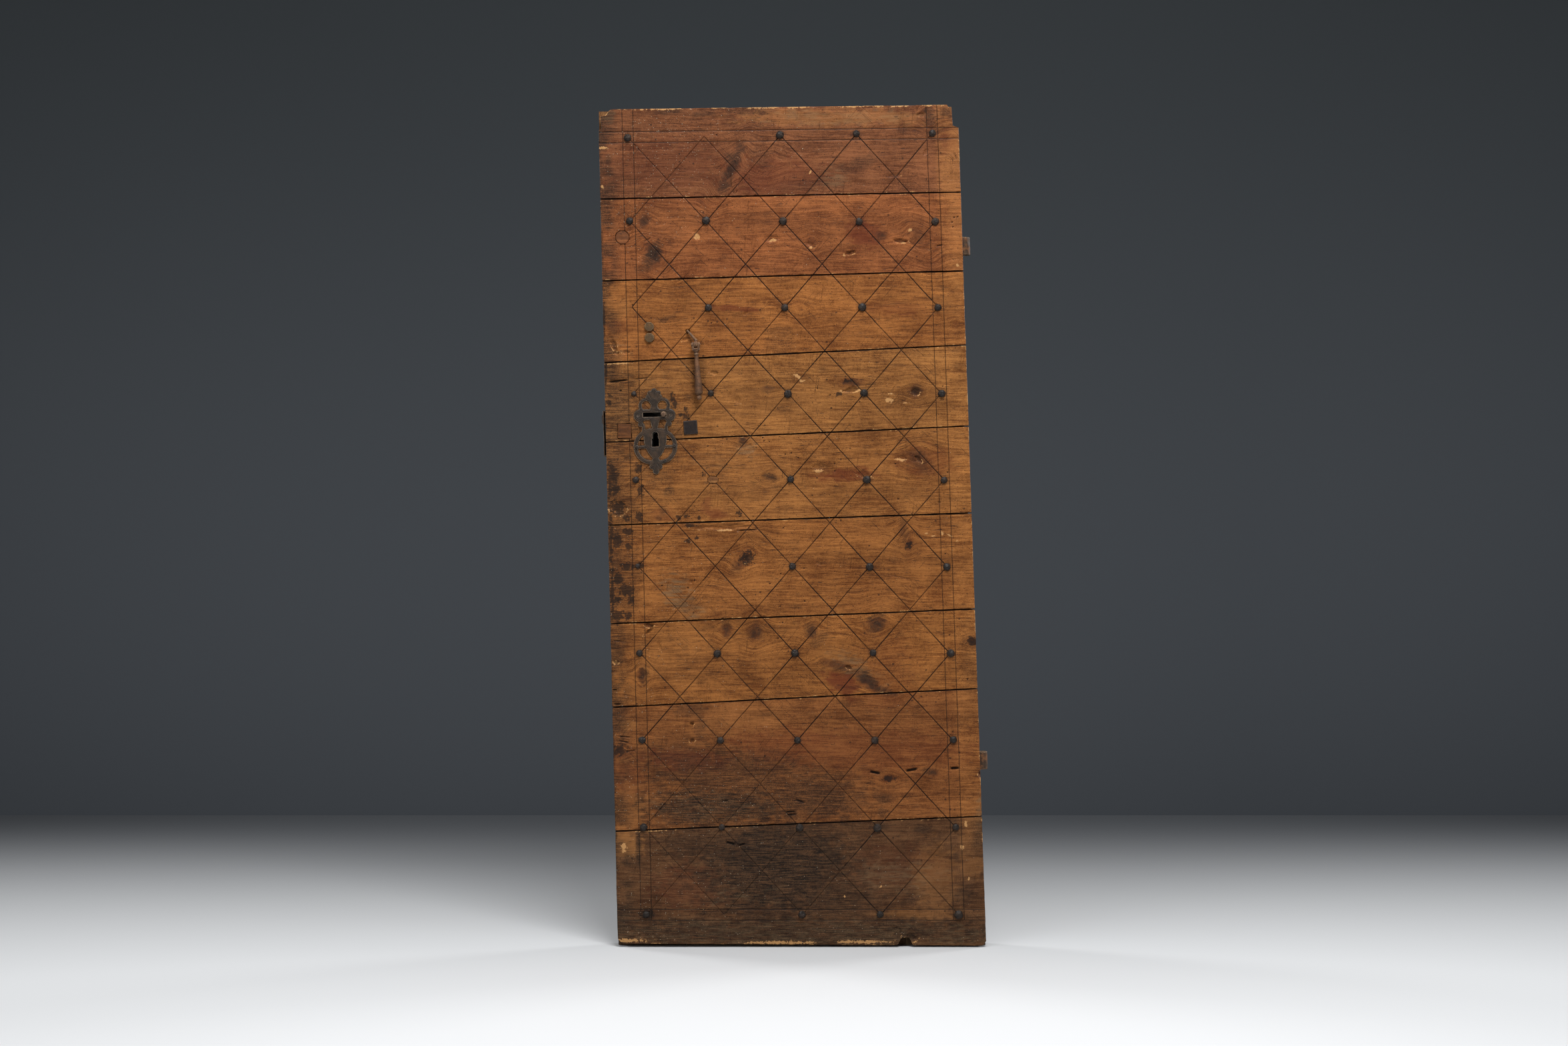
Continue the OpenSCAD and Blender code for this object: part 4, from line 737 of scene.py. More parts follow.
nail_co = np.array([v.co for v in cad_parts["forged_nails"].data.vertices])
nail_places = groups_of(nail_co[nail_co[:, 1] < FACE_Y - 0.001][:, [0, 2]], NAIL_REACH)
lines = lattice_lines()
board_material = board_wood("waxed_board_wood", "X")
front_boards = []
for n in range(1, 10):
    node = f"front_board_{n}"
    left = [corner(node, -1, end)[1] + end * CLOSER * (n != (9, 0, 1)[end + 1]) for end in (-1, 1)]
    right = [corner(node, 1, end)[1] + end * CLOSER * (n != (9, 0, 1)[end + 1]) for end in (-1, 1)]
    width = hinge_edge(right[0]) - lock_edge(left[0])
    height = (left[1] + right[1] - left[0] - right[0]) / 2
    s = (spread(width, BOARD_STEP) / width)[:, None]
    t = (spread(height, BOARD_STEP) / height)[None, :]
    z_left, z_right = left[0] + t * (left[1] - left[0]), right[0] + t * (right[1] - right[0])
    x = lock_edge(z_left) + s * (hinge_edge(z_right) - lock_edge(z_left))
    z = z_left + s * (z_right - z_left)
    from_left, from_right = s * width + 0 * t, (1 - s) * width + 0 * t
    from_foot, from_top = t * height + 0 * s, (1 - t) * height + 0 * s
    # Worn outline: wavy edges, the notched top corners, the bitten foot
    worn_left = EDGE_WAVE * (1 + noise(z_left, z_left, 0.03, 0.05, 11)) / 2
    worn_right = EDGE_WAVE * (1 + noise(z_right, z_right, 0.03, 0.05, 12)) / 2
    worn_foot = JOINT_WAVE * (1 + noise(x[:, :1], x[:, :1], 0.05, 0.04, 13 + n)) / 2
    worn_top = JOINT_WAVE * (1 + noise(x[:, -1:], x[:, -1:], 0.05, 0.04, 33 + n)) / 2
    if n == 1:
        worn_left = worn_left + LOCK_NOTCH * smooth((z_left - photo_z(195)) / NOTCH_STEP)
        notch = HINGE_NOTCH + NOTCH_SLOPE * (z_right - photo_z(189))
        worn_right = worn_right + notch * smooth((z_right - photo_z(190.5)) / NOTCH_STEP)
        worn_top = worn_top + CHAMFER_DEEP * smooth((photo_x(924) - x[:, -1:]) / CHAMFER_LONG) ** 3
        worn_top = worn_top + CORNER_DEEP * smooth((x[:, -1:] - photo_x(1424)) / CORNER_LONG) ** 2
    if n == 9:
        worn_foot = worn_foot + BITE_DEEP * smooth(1.5 - np.abs(x[:, :1] - photo_x(1357)) / BITE_HALF)
        worn_foot = worn_foot + LEFT_FOOT_DEEP * smooth((photo_x(936) - x[:, :1]) / LEFT_FOOT_LONG) ** 2
        worn_foot = worn_foot + RIGHT_FOOT_DEEP * smooth((x[:, :1] - photo_x(1470)) / RIGHT_FOOT_LONG) ** 2
    x = x + worn_left * np.clip(1 - from_left / WEAR_FADE, 0, 1)
    x = x - worn_right * np.clip(1 - from_right / WEAR_FADE, 0, 1)
    z = z + worn_foot * np.clip(1 - from_foot / WEAR_FADE, 0, 1)
    z = z - worn_top * np.clip(1 - from_top / WEAR_FADE, 0, 1)
    cut = scribe(x, z, lines)
    # Relief: planing swells, round arrises, scribed lines, gouges, slits and worm holes
    depth = SWELL * noise(x, z, 0.22, 0.07, 50 + n) + RIPPLE * noise(x, z, 0.06, 0.011, 60 + n)
    depth = depth + TORN * patches(x, z, ROUGH_MARKS, 0.8, 0.3, 5) * noise(x, z, 0.022, 0.0045, 70 + n)
    arris = ARRIS + ARRIS_VARIES * noise(x, z, 0.03, 0.03, 80 + n)
    chipped = smooth(2.2 * noise(x, z, 0.018, 0.02, 90 + n) - 0.9)
    for away in (from_left, from_right, from_foot, from_top):
        radius = np.maximum(arris + CHIP * chipped, ARRIS_LEAST)
        inside = np.clip(1 - away / radius, 0, 1)
        depth = np.maximum(depth, radius * (1 - np.sqrt(1 - inside * inside)))
    depth = depth + LINE_DEPTH * cut
    lattice, border = line_places(x, z)
    gouge_shade_and_seam, lit_gouge_rims = np.zeros_like(x), np.zeros_like(x)
    # Gouges: their bowls carry painted shade, and their lower rims a painted highlight, as if lit from above.
    for mark in GOUGES:
        bowl = smooth(1.9 * (1.2 - oval(x, z, mark) - 0.35 * noise(x, z, 0.008, 0.005, 7)))
        depth = np.maximum(depth, bowl * mark[5] * MM)
        gouge_shade_and_seam = np.maximum(gouge_shade_and_seam, bowl * min(1.0, 0.25 + mark[5] / 5))
        lit_rim = smooth(1 - np.abs(oval(x, z, mark) - 1.25) / 0.45) * (z < photo_z(mark[1]))
        lit_gouge_rims = np.maximum(lit_gouge_rims, lit_rim * min(1.0, mark[5] / 4))
    for inlay, round_share in INLAYS.items():
        low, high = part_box(inlay)
        middle_x, middle_z = (low.x + high.x) / 2, (low.z + high.z) / 2
        size_x, size_z = high.x - low.x, high.z - low.z
        out = np.abs(x - middle_x) * 2 / size_x, np.abs(z - middle_z) * 2 / size_z
        inside = np.hypot(*out) if round_share else np.maximum(*out)
        cell = 1.4 * BOARD_STEP / size_x
        rim = np.where((inside > POCKET) & (inside < POCKET + cell), POCKET_RIM, inside)
        rim = np.where((inside <= POCKET) & (inside > POCKET - cell), 1.0, rim)
        pull = rim / np.maximum(inside, 1e-9)
        x = middle_x + (x - middle_x) * np.where(round_share | (out[0] > out[1]), pull, 1)
        z = middle_z + (z - middle_z) * np.where(round_share | (out[0] <= out[1]), pull, 1)
        depth = np.where(inside < POCKET, high.y - FACE_Y - POCKET_SPARE, depth)
        gouge_shade_and_seam = np.where(np.abs(rim - POCKET) < 0.03, 0.85, gouge_shade_and_seam)
    slit, slit_dark = slit_depth(x, z, SLITS)
    depth = np.maximum(depth, slit)
    worm = np.zeros_like(x)
    for px, py in WORM_HOLES:
        worm = np.maximum(worm, np.clip(1.5 - np.hypot(x - photo_x(px), z - photo_z(py)) / WORM_RADIUS, 0, 1))
    depth = np.maximum(depth, WORM_DEEP * worm)
    # Grain that bends round the knots
    ring = z + 0.007 * noise(x, z, 0.5, 0.16, 100 + n) + 0.0016 * noise(x, z, 0.1, 0.03, 110 + n)
    knot = np.zeros_like(x)
    for mark in KNOTS:
        away, dz = oval(x, z, mark), z - photo_z(mark[1])
        uneven = away * (1 + 0.35 * noise(x, z, 0.009, 0.006, 115))
        ring = ring - 1.0 * dz * np.exp(-(away / 2.0) ** 2)
        knot = np.maximum(knot, mark[5] * np.exp(-uneven ** 2 * 0.7))
    # Colours and stains
    tone = np.array(BOARD_TONES[n - 1])
    margin = smooth((x - hinge_edge(z) + 0.060) / 0.02) * 0.26
    margin = margin * (1 - smooth((photo_z(1240) - z) / 0.1))
    drift = 1 + 0.16 * noise(x, z, 0.16, 0.05, 120 + n) + 0.10 * noise(x, z, 0.05, 0.012, 130 + n)
    tint = (tone + (np.array(MARGIN_TONE) - tone) * margin[..., None]) * drift[..., None]
    tint[..., 3] = 1
    near_edge = np.minimum(np.minimum(from_left, from_right), np.minimum(from_foot, from_top))
    # Pale arrises: partly rubbed wear, partly a painted highlight where light catches the edges.
    rubbed = smooth(1 - near_edge / 0.004) * smooth(1.6 * noise(x, z, 0.02, 0.02, 140 + n) + 0.15)
    rubbed = rubbed * smooth(from_left / 0.008)
    lock_side = 0.75 * smooth((lock_edge(z) + 0.055 - x) / 0.04) * smooth(0.7 + noise(x, z, 0.03, 0.03, 26))
    # Soot and stains, darker round each nail; the mark round the lock plate adds a painted shadow.
    soot_and_shade = patches(x, z, SHADE_MARKS, 1.1, 0.45, 21)
    # A dark strip along the lock edge: partly dirt, partly painted shade of the rounded edge.
    edge_shade_and_soot = 0.9 * smooth(1 - from_left / 0.008) * smooth(0.9 + noise(x, z, 0.03, 0.05, 28))
    for nail_x, nail_z in nail_places:
        soot_and_shade = np.maximum(soot_and_shade, 0.5 * smooth(1.3 - np.hypot(x - nail_x, z - nail_z) / NAIL_REACH))
    grime = smooth(1.5 * noise(x, z, 0.03, 0.012, 150 + n) - 0.55) * 0.28
    joint_reach = 0.0004 + 0.0012 * smooth(0.4 + noise(x, z, 0.03, 0.05, 180 + n))
    joint = np.maximum(smooth(1 - from_foot / joint_reach), smooth(1 - from_top / joint_reach))
    if n == 1:
        # Board 1's top edge: pale bare wood, and a painted highlight where light from above falls on it.
        lit_bare_top = 1.25 * smooth(1 - from_top / 0.0075) * smooth(0.7 + noise(x, z, 0.03, 0.02, 190))
        rubbed = np.maximum(rubbed, lit_bare_top)
    joint = joint * (1.0 if 1 < n < 9 else smooth((from_top if n == 1 else from_foot) / 0.02))
    fields = {
        "tint": tint,
        "ring": ring,
        "soot_and_shade": np.maximum.reduce([soot_and_shade, grime, lock_side, edge_shade_and_soot]),
        "red": patches(x, z, RED_MARKS, 1.0, 0.5, 22),
        "grey": patches(x, z, GREY_MARKS, 0.9, 0.6, 23) * smooth(0.5 + noise(x, z, 0.02, 0.004, 170)),
        "pale": np.maximum.reduce([rims(x, z, PALE_MARKS), 0.62 * rubbed * (1 - joint), 0.6 * lit_gouge_rims]),
        "blot": rims(x, z, BURN_AND_EDGE_SHADE_MARKS),
        # Dark lines: slits, worm holes, joints and inlay seams, and the painted shade in the gouges.
        "line": np.maximum.reduce([slit_dark, 0.85 * worm, 0.42 * gouge_shade_and_seam ** 2, 0.9 * joint]),
        "knot": knot,
        "lattice": lattice,
        "border": border,
        "fleck": patches(x, z, FLECK_MARKS, 1.2, 0.3, 25),
        "tan": patches(x, z, TAN_MARKS, 0.9, 0.6, 27),
    }
    on_line = cut > 0
    a, b, c, d = on_line[:-1, :-1], on_line[1:, :-1], on_line[1:, 1:], on_line[:-1, 1:]
    split = ((a & c) | ((b | d) & ~(a | c | (b & d))), (b & d) | ((a | c) & ~(b | d | (a & c))))
    board = board_object(f"worn_board_{n}", x, FACE_Y + depth, z, fields, INNER_Y, split)
    board.data.materials.append(board_material)
    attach(board, "leaf")
    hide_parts(node)
    front_boards.append(board)

# Back planks: five upright planks of the same softwood, sawn and left rough, that the boards are nailed to.
# Their grain runs up, and their backs are dry, grey-brown and worn at the edges.
BACK_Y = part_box("back_plank_3")[1].y
PLANK_STEP = 0.0052
PLANK_TONES = [srgb(*tone) for tone in (
    (120, 84, 52), (128, 92, 58), (112, 78, 48), (124, 86, 54), (116, 82, 52))]
PLANK_HOLLOW, SAW_MARK, PLANK_ARRIS, PLANK_ARRIS_VARIES = 0.0007, 0.0003, 0.0022, 0.001
DAMP_RISE, RUBBED_EDGE = 0.22, 0.004
plank_material = board_wood("sawn_plank_wood", "Z")
back_planks = []
for n in range(1, 6):
    node = f"back_plank_{n}"
    (x_foot_left, z_foot), (x_foot_right, _) = corner(node, -1, -1), corner(node, 1, -1)
    (x_top_left, z_top_left), (x_top_right, z_top_right) = corner(node, -1, 1), corner(node, 1, 1)
    width, height = x_foot_right - x_foot_left, z_top_left - z_foot
    s = (spread(width, PLANK_STEP) / width)[:, None]
    t = (spread(height, PLANK_STEP) / height)[None, :]
    x_left = x_foot_left + t * (x_top_left - x_foot_left)
    x_right = x_foot_right + t * (x_top_right - x_foot_right)
    x = x_left + s * (x_right - x_left)
    z = z_foot + t * (z_top_left + s * (z_top_right - z_top_left) - z_foot)
    depth = PLANK_HOLLOW * (1 + noise(x, z, 0.05, 0.30, 200 + n))
    depth = depth + SAW_MARK * noise(x, z, 0.006, 0.08, 210 + n)
    near_edge = np.minimum(np.minimum(s, 1 - s) * width + 0 * t, np.minimum(t, 1 - t) * height + 0 * s)
    radius = PLANK_ARRIS + PLANK_ARRIS_VARIES * noise(x, z, 0.03, 0.04, 220 + n)
    inside = np.clip(1 - near_edge / radius, 0, 1)
    depth = np.maximum(depth, radius * (1 - np.sqrt(1 - inside * inside)))
    ring = x + 0.012 * noise(x, z, 0.10, 0.6, 230 + n) + 0.002 * noise(x, z, 0.03, 0.1, 240 + n)
    tone = np.array(PLANK_TONES[n - 1])
    drift = 1 + 0.18 * noise(x, z, 0.04, 0.3, 250 + n)
    tint = tone * drift[..., None]
    tint[..., 3] = 1
    damp = 0.75 * smooth((DAMP_RISE + 0.08 * noise(x, z, 0.05, 0.1, 260) - z + z_foot) / DAMP_RISE)
    smoked = 0.5 * smooth(1.6 * noise(x, z, 0.03, 0.12, 270 + n) - 0.6)
    rubbed = smooth(1 - near_edge / RUBBED_EDGE) * smooth(noise(x, z, 0.03, 0.03, 290 + n) + 0.2)
    blank = 0 * x
    fields = {key: blank for key in ("red", "line", "blot", "tan", "knot")}
    fields["tint"] = tint
    fields["ring"] = ring
    fields["soot_and_shade"] = np.maximum(damp, smoked)
    fields["grey"] = 0.6 * smooth(0.4 + noise(x, z, 0.02, 0.2, 280 + n))
    fields["fleck"] = blank + 0.01
    fields["pale"] = 0.5 * rubbed
    plain = np.zeros((x.shape[0] - 1, x.shape[1] - 1), bool)
    plank = board_object(f"worn_plank_{n}", x, BACK_Y - depth, z, fields, INNER_Y, (plain, plain))
    plank.data.materials.append(plank_material)
    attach(plank, "leaf")
    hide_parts(node)
    back_planks.append(plank)

# Lock holes: the keyhole and the slot for the latch knob, cut through two boards and the plank behind them.
# They were chopped with a chisel, so their walls are straight and stained black.
LEAN = math.atan2(lock_edge(0) - lock_edge(1), 1)
SLOT_SIZE = (0.052, 0.010)
SLOT_RISE = 0.04404
KEYHOLE_RADIUS, KEYHOLE_FOOT, KEYHOLE_DEEP = 0.0062, 0.016, 0.027
key_low, key_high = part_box("key_pin")
LOCK_X, LOCK_Z = (key_low.x + key_high.x) / 2, (key_low.z + key_high.z) / 2


def at_lock(across, up):
    """A place on the leaning lock, from the middle of its keyhole."""
    c, s = math.cos(LEAN), math.sin(LEAN)
    return LOCK_X + across * c - up * s, LOCK_Z + across * s + up * c


def through_cutter(name, outline):
    """A prism through the whole leaf, to cut a hole with."""
    near, far = FACE_Y - 0.02, BACK_Y + 0.02
    count = len(outline)
    ends = [(x, y, z) for y in (near, far) for x, z in (at_lock(*p) for p in outline)]
    sides = [(k, k + count, (k + 1) % count + count, (k + 1) % count) for k in range(count)]
    mesh = bpy.data.meshes.new(name)
    mesh.from_pydata(ends, [], [tuple(range(count)), tuple(range(2 * count - 1, count - 1, -1))] + sides)
    made = bpy.data.objects.new(name, mesh)
    bpy.context.scene.collection.objects.link(made)
    return made


def finished(made):
    """The object with its modifiers' result as its own mesh."""
    result = bpy.data.meshes.new_from_object(made.evaluated_get(bpy.context.evaluated_depsgraph_get()))
    made.modifiers.clear()
    made.data = result
    return made


half_slot = SLOT_SIZE[0] / 2
slot_low, slot_high = SLOT_RISE - SLOT_SIZE[1] / 2, SLOT_RISE + SLOT_SIZE[1] / 2
slot_outline = [(-half_slot, slot_low), (half_slot, slot_low)]
slot_outline += [(half_slot, slot_high), (-half_slot, slot_high)]
arc = [math.radians(a) for a in range(0, 181, 20)]
half_foot, neck = KEYHOLE_FOOT / 2, -KEYHOLE_DEEP / 3
keyhole_outline = [(-half_foot, -KEYHOLE_DEEP), (half_foot, -KEYHOLE_DEEP)]
keyhole_outline += [(half_foot, neck), (KEYHOLE_RADIUS, neck)]
keyhole_outline += [(KEYHOLE_RADIUS * math.cos(a), KEYHOLE_RADIUS * math.sin(a)) for a in arc]
keyhole_outline += [(-KEYHOLE_RADIUS, neck), (-half_foot, neck)]
for cutter_name, outline in (("slot_cutter", slot_outline), ("keyhole_cutter", keyhole_outline)):
    cutter = through_cutter(cutter_name, outline)
    for wood in (front_boards[3], front_boards[4], back_planks[0]):
        cut_through = wood.modifiers.new("hole", "BOOLEAN")
        cut_through.operation, cut_through.solver, cut_through.object = "DIFFERENCE", "MANIFOLD", cutter
        finished(wood)
    bpy.data.objects.remove(cutter)

# Inlays: a round bung, a square patch and an oval plug, whittled from spare wood and driven in.
# Each fills a place where an older fitting was, and sits flush or just below the face.


def edge_field(mesh, size):
    """How strongly each point of a mesh stands out as an edge, as a value that the mesh holds."""
    count = len(mesh.vertices)
    co, normal = np.empty(count * 3), np.empty(count * 3)
    mesh.vertices.foreach_get("co", co)
    mesh.vertices.foreach_get("normal", normal)
    co, normal = co.reshape(-1, 3), normal.reshape(-1, 3)
    ends = np.empty(len(mesh.edges) * 2, int)
    mesh.edges.foreach_get("vertices", ends)
    a, b = ends.reshape(-1, 2).T
    total, met = np.zeros((count, 3)), np.zeros(count)
    for near, far in ((a, b), (b, a)):
        np.add.at(total, near, co[far])
        np.add.at(met, near, 1)
    out = ((co - total / np.maximum(met, 1)[:, None]) * normal).sum(1)
    return co, normal, np.clip(out / size, 0, 1)


def worn_copy(node, name, body, material, voxel, dent, seed):
    """A hand-worked copy of a piece: its edges rounded by wear, its faces a little uneven."""
    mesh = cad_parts[node].data.copy()
    work = bmesh.new()
    work.from_mesh(mesh)
    bmesh.ops.remove_doubles(work, verts=work.verts, dist=1e-6)
    work.to_mesh(mesh)
    work.free()
    made = bpy.data.objects.new(name, mesh)
    bpy.context.scene.collection.objects.link(made)
    fuse = made.modifiers.new("fuse", "REMESH")
    fuse.mode, fuse.voxel_size = "VOXEL", voxel
    soften = made.modifiers.new("soften", "SMOOTH")
    soften.factor, soften.iterations = 0.5, 2
    finished(made)
    mesh = made.data
    co, normal, edge = edge_field(mesh, 0.10 * voxel)
    along = co[:, 0] + 0.7 * co[:, 1]
    push = dent * noise(along, co[:, 2] + 0.3 * co[:, 1], 0.009, 0.009, seed) - 0.3 * dent * edge
    mesh.vertices.foreach_set("co", (co + normal * push[:, None]).ravel())
    mesh.attributes.new("edge", "FLOAT", "POINT").data.foreach_set("value", edge.astype(np.float32))
    mesh.polygons.foreach_set("use_smooth", np.ones(len(mesh.polygons), bool))
    mesh.materials.clear()
    mesh.materials.append(material)
    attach(made, body)
    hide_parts(node)
    return made


def inlay_wood(name, tone, dark):
    """A small piece of other wood, dirty in its grain."""
    material, tree, shader = new_material(name, 0.62)
    shader.inputs["Specular IOR Level"].default_value = 0.12
    place = add(tree, "ShaderNodeTexCoord").outputs["Object"]
    axes = add(tree, "ShaderNodeSeparateXYZ", {0: place})
    grain = use_group(tree, wood_grain, Along=axes.outputs["X"], Across=axes.outputs["Z"],
                      Depth=axes.outputs["Y"])
    colour = mixed(tree, between(tree, grain.outputs[0], 0.35, 0.70), srgb(*dark), srgb(*tone))
    colour = mixed(tree, sums(tree, "MULTIPLY", grain.outputs[1], 0.4), colour, srgb(*dark))
    dirt = between(tree, noise_node(tree, place, 220.0, 4.0), 0.55, 0.75, 0.0, 0.7)
    colour = mixed(tree, dirt, colour, srgb(44, 32, 24))
    tree.links.new(colour, shader.inputs["Base Color"])
    bump = add(tree, "ShaderNodeBump", {"Strength": 0.5, "Distance": 0.0006, "Height": grain.outputs[0]})
    tree.links.new(bump.outputs[0], shader.inputs["Normal"])
    return material


INLAY_VOXEL, INLAY_DENT = 0.0009, 0.0005
for node, piece, wood, tone, dark, seed in (
        ("round_bung", "whittled_bung", "bung_wood", (138, 84, 48), (96, 58, 35), 301),
        ("square_patch", "let_in_patch", "patch_wood", (112, 69, 38), (78, 48, 29), 302),
        ("nail_plug", "driven_plug", "plug_wood", (150, 102, 58), (92, 58, 34), 303)):
    worn_copy(node, piece, "leaf", inlay_wood(wood, tone, dark), INLAY_VOXEL, INLAY_DENT, seed)

# Forged nails: square-shanked iron nails with hammered heads, driven in where the lattice crosses.
# Their tips come out at the back and are clenched flat along the planks.
HEAD_WIDTH, HEAD_HEIGHT = 0.0164, 0.0062
TIP_LENGTH, TIP_WIDTH, TIP_THICK = 0.024, 0.0062, 0.003


def forged_iron(name, iron, rust, bright, rough=0.55, metallic=0.35):
    """Old forged iron: dark scale, brown rust, pitted, and rubbed bright on its edges."""
    material, tree, shader = new_material(name, rough, metallic)
    shader.inputs["Specular IOR Level"].default_value = 0.18
    place = add(tree, "ShaderNodeTexCoord").outputs["Object"]
    clouds = noise_node(tree, place, 70.0, 5.0, 0.62)
    grit = noise_node(tree, place, 520.0, 3.0, 0.6)
    colour = mixed(tree, between(tree, clouds, 0.44, 0.64), srgb(*iron), srgb(*rust))
    colour = mixed(tree, between(tree, grit, 0.55, 0.72, 0.0, 0.6), colour, srgb(26, 22, 20))
    rubbed = sums(tree, "MULTIPLY", field(tree, "edge"), between(tree, grit, 0.62, 0.40, 0.15, 0.75))
    colour = mixed(tree, rubbed, colour, srgb(*bright))
    tree.links.new(colour, shader.inputs["Base Color"])
    tree.links.new(between(tree, clouds, 0.3, 0.7, rough - 0.12, rough + 0.14), shader.inputs["Roughness"])
    height = sums(tree, "MULTIPLY_ADD", grit, 0.5, clouds)
    bump = add(tree, "ShaderNodeBump", {"Strength": 0.6, "Distance": 0.0008, "Height": height})
    tree.links.new(bump.outputs[0], shader.inputs["Normal"])
    return material


nail_iron = forged_iron("nail_iron_worn", (40, 35, 32), (54, 43, 36), (110, 100, 92), 0.5, 0.0)


def nail_tree():
    """Geometry nodes that put a hammered head and a clenched tip at each nail's place."""
    tree = bpy.data.node_groups.new("forged_nails", "GeometryNodeTree")
    sockets = {"Places": "Geometry", "Head width": "Float", "Head height": "Float", "Tip length": "Float",
               "Tip width": "Float", "Tip thickness": "Float", "Leaf thickness": "Float", "Seed": "Int"}
    for key, kind in sockets.items():
        tree.interface.new_socket(key, in_out="INPUT", socket_type="NodeSocket" + kind)
    tree.interface.new_socket("Nails", in_out="OUTPUT", socket_type="NodeSocketGeometry")
    given, out = tree.nodes.new("NodeGroupInput").outputs, tree.nodes.new("NodeGroupOutput")

    def put(kind, inputs, **settings):
        return add(tree, kind, inputs, **settings).outputs[0]

    ball = put("GeometryNodeMeshIcoSphere", {"Radius": 0.5, "Subdivisions": 3})
    high = sums(tree, "MULTIPLY", given["Head height"], 2.0)
    flat = xyz(tree, given["Head width"], high, given["Head width"])
    head = put("GeometryNodeTransform", {"Geometry": ball, "Scale": flat})
    turn = put("FunctionNodeRandomValue", {0: (0, 0, 0), 1: (0.12, 6.28, 0.12), "Seed": given["Seed"]},
               data_type="FLOAT_VECTOR")
    drawn = add(tree, "FunctionNodeRandomValue", {2: 0.90, 3: 1.10, "Seed": given["Seed"]}, data_type="FLOAT")
    own = put("GeometryNodeInputNamedAttribute", {"Name": "size"}, data_type="FLOAT")
    size = sums(tree, "MULTIPLY", drawn.outputs[1], own)
    heads = put("GeometryNodeInstanceOnPoints", {"Points": given["Places"], "Instance": head, "Rotation": turn,
                                                 "Scale": size})
    taper = put("GeometryNodeMeshCone", {"Vertices": 8, "Side Segments": 5, "Radius Top": 0.18,
                                         "Radius Bottom": 0.5, "Depth": 1.0})
    lying = put("GeometryNodeTransform", {"Geometry": taper, "Rotation": (0, math.pi / 2, 0)})
    thick = sums(tree, "MULTIPLY", given["Tip thickness"], 1.8)
    long = xyz(tree, given["Tip length"], thick, given["Tip width"])
    behind = xyz(tree, y=given["Leaf thickness"])
    tip = put("GeometryNodeTransform", {"Geometry": lying, "Scale": long, "Translation": behind})
    way = put("GeometryNodeInputNamedAttribute", {"Name": "way"}, data_type="FLOAT")
    tips = put("GeometryNodeInstanceOnPoints", {"Points": given["Places"], "Instance": tip,
                                                "Rotation": xyz(tree, y=way)})
    both = add(tree, "GeometryNodeJoinGeometry")
    tree.links.new(heads, both.inputs[0])
    tree.links.new(tips, both.inputs[0])
    solid = put("GeometryNodeRealizeInstances", {0: both.outputs[0]})
    beaten = add(tree, "ShaderNodeTexNoise", {"Scale": 210.0, "Detail": 1.0}).outputs["Color"]
    centred = vectors(tree, "SUBTRACT", beaten, (0.5, 0.5, 0.5))
    shift = put("ShaderNodeVectorMath", {0: centred, "Scale": 0.0042}, operation="SCALE")
    uneven = put("GeometryNodeSetPosition", {"Geometry": solid, "Offset": shift})
    faceted = put("GeometryNodeSetShadeSmooth", {"Geometry": uneven, "Shade Smooth": False})
    made = put("GeometryNodeSetMaterial", {"Geometry": faceted, "Material": nail_iron})
    tree.links.new(made, out.inputs[0])
    return tree


def by_nodes(name, tree, points, fields, **inputs):
    """A plain mesh that geometry nodes make on some points."""
    mesh = bpy.data.meshes.new(name)
    mesh.from_pydata(points, [], [])
    for key, values in fields.items():
        mesh.attributes.new(key, "FLOAT", "POINT").data.foreach_set("value", np.array(values, np.float32))
    made = bpy.data.objects.new(name, mesh)
    bpy.context.scene.collection.objects.link(made)
    nodes = made.modifiers.new("nodes", "NODES")
    nodes.node_group = tree
    for socket in tree.interface.items_tree:
        if socket.in_out == "INPUT" and socket.name in inputs:
            nodes[socket.identifier] = inputs[socket.name]
    return finished(made)


HEAD_SIZES = ((953, 589, 0.78), (1065.7, 590, 0.80), (959, 848, 0.62), (1316, 1237, 1.15), (1086, 1245, 0.8),
              (1435, 1373, 1.1))
sizes = np.ones(len(nail_places))
for px, py, size in HEAD_SIZES:
    from_mark = [abs(x - photo_x(px)) + abs(z - photo_z(py)) for x, z in nail_places]
    sizes[int(np.argmin(from_mark))] = size
tip_places = nail_co[nail_co[:, 1] > BACK_Y + 0.001][:, [0, 2]]
ways = []
for place in nail_places:
    near = tip_places[np.abs(tip_places - place).max(1) < 1.2 * TIP_LENGTH]
    ways.append(0.0 if np.mean(near[:, 0]) > place[0] else math.pi)
nail_sizes = {"Head width": HEAD_WIDTH, "Head height": HEAD_HEIGHT, "Tip length": TIP_LENGTH, "Seed": 7,
              "Tip width": TIP_WIDTH, "Tip thickness": TIP_THICK, "Leaf thickness": BACK_Y - FACE_Y}
nails = by_nodes("hammered_nails", nail_tree(), [(x, FACE_Y, z) for x, z in nail_places],
                 {"way": ways, "size": sizes}, **nail_sizes)
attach(nails, "leaf")
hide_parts("forged_nails")

# Lock plate: one sheet of iron, sawn and filed into arched loops, a shield and a ring, with petalled ends.
# Small nails hold it over the keyhole and the slot of the latch knob.
plate_iron = forged_iron("plate_iron_worn", (50, 41, 34), (66, 51, 39), (150, 128, 106), 0.58, 0.0)
RIM_SLOPE, RIM_DROP = 0.0036, 0.0014
INCISED_IN, INCISED_DEEP, INCISED_WIDTH = 0.0046, 0.0006, 0.0007
RIB_DEEP, RIB_WIDTH = 0.0009, 0.0009
PALMETTES = ((0.066, 0.012, (90, 62, 118, 32, 148)), (-0.060, 0.004, (-90, -58, -122)))


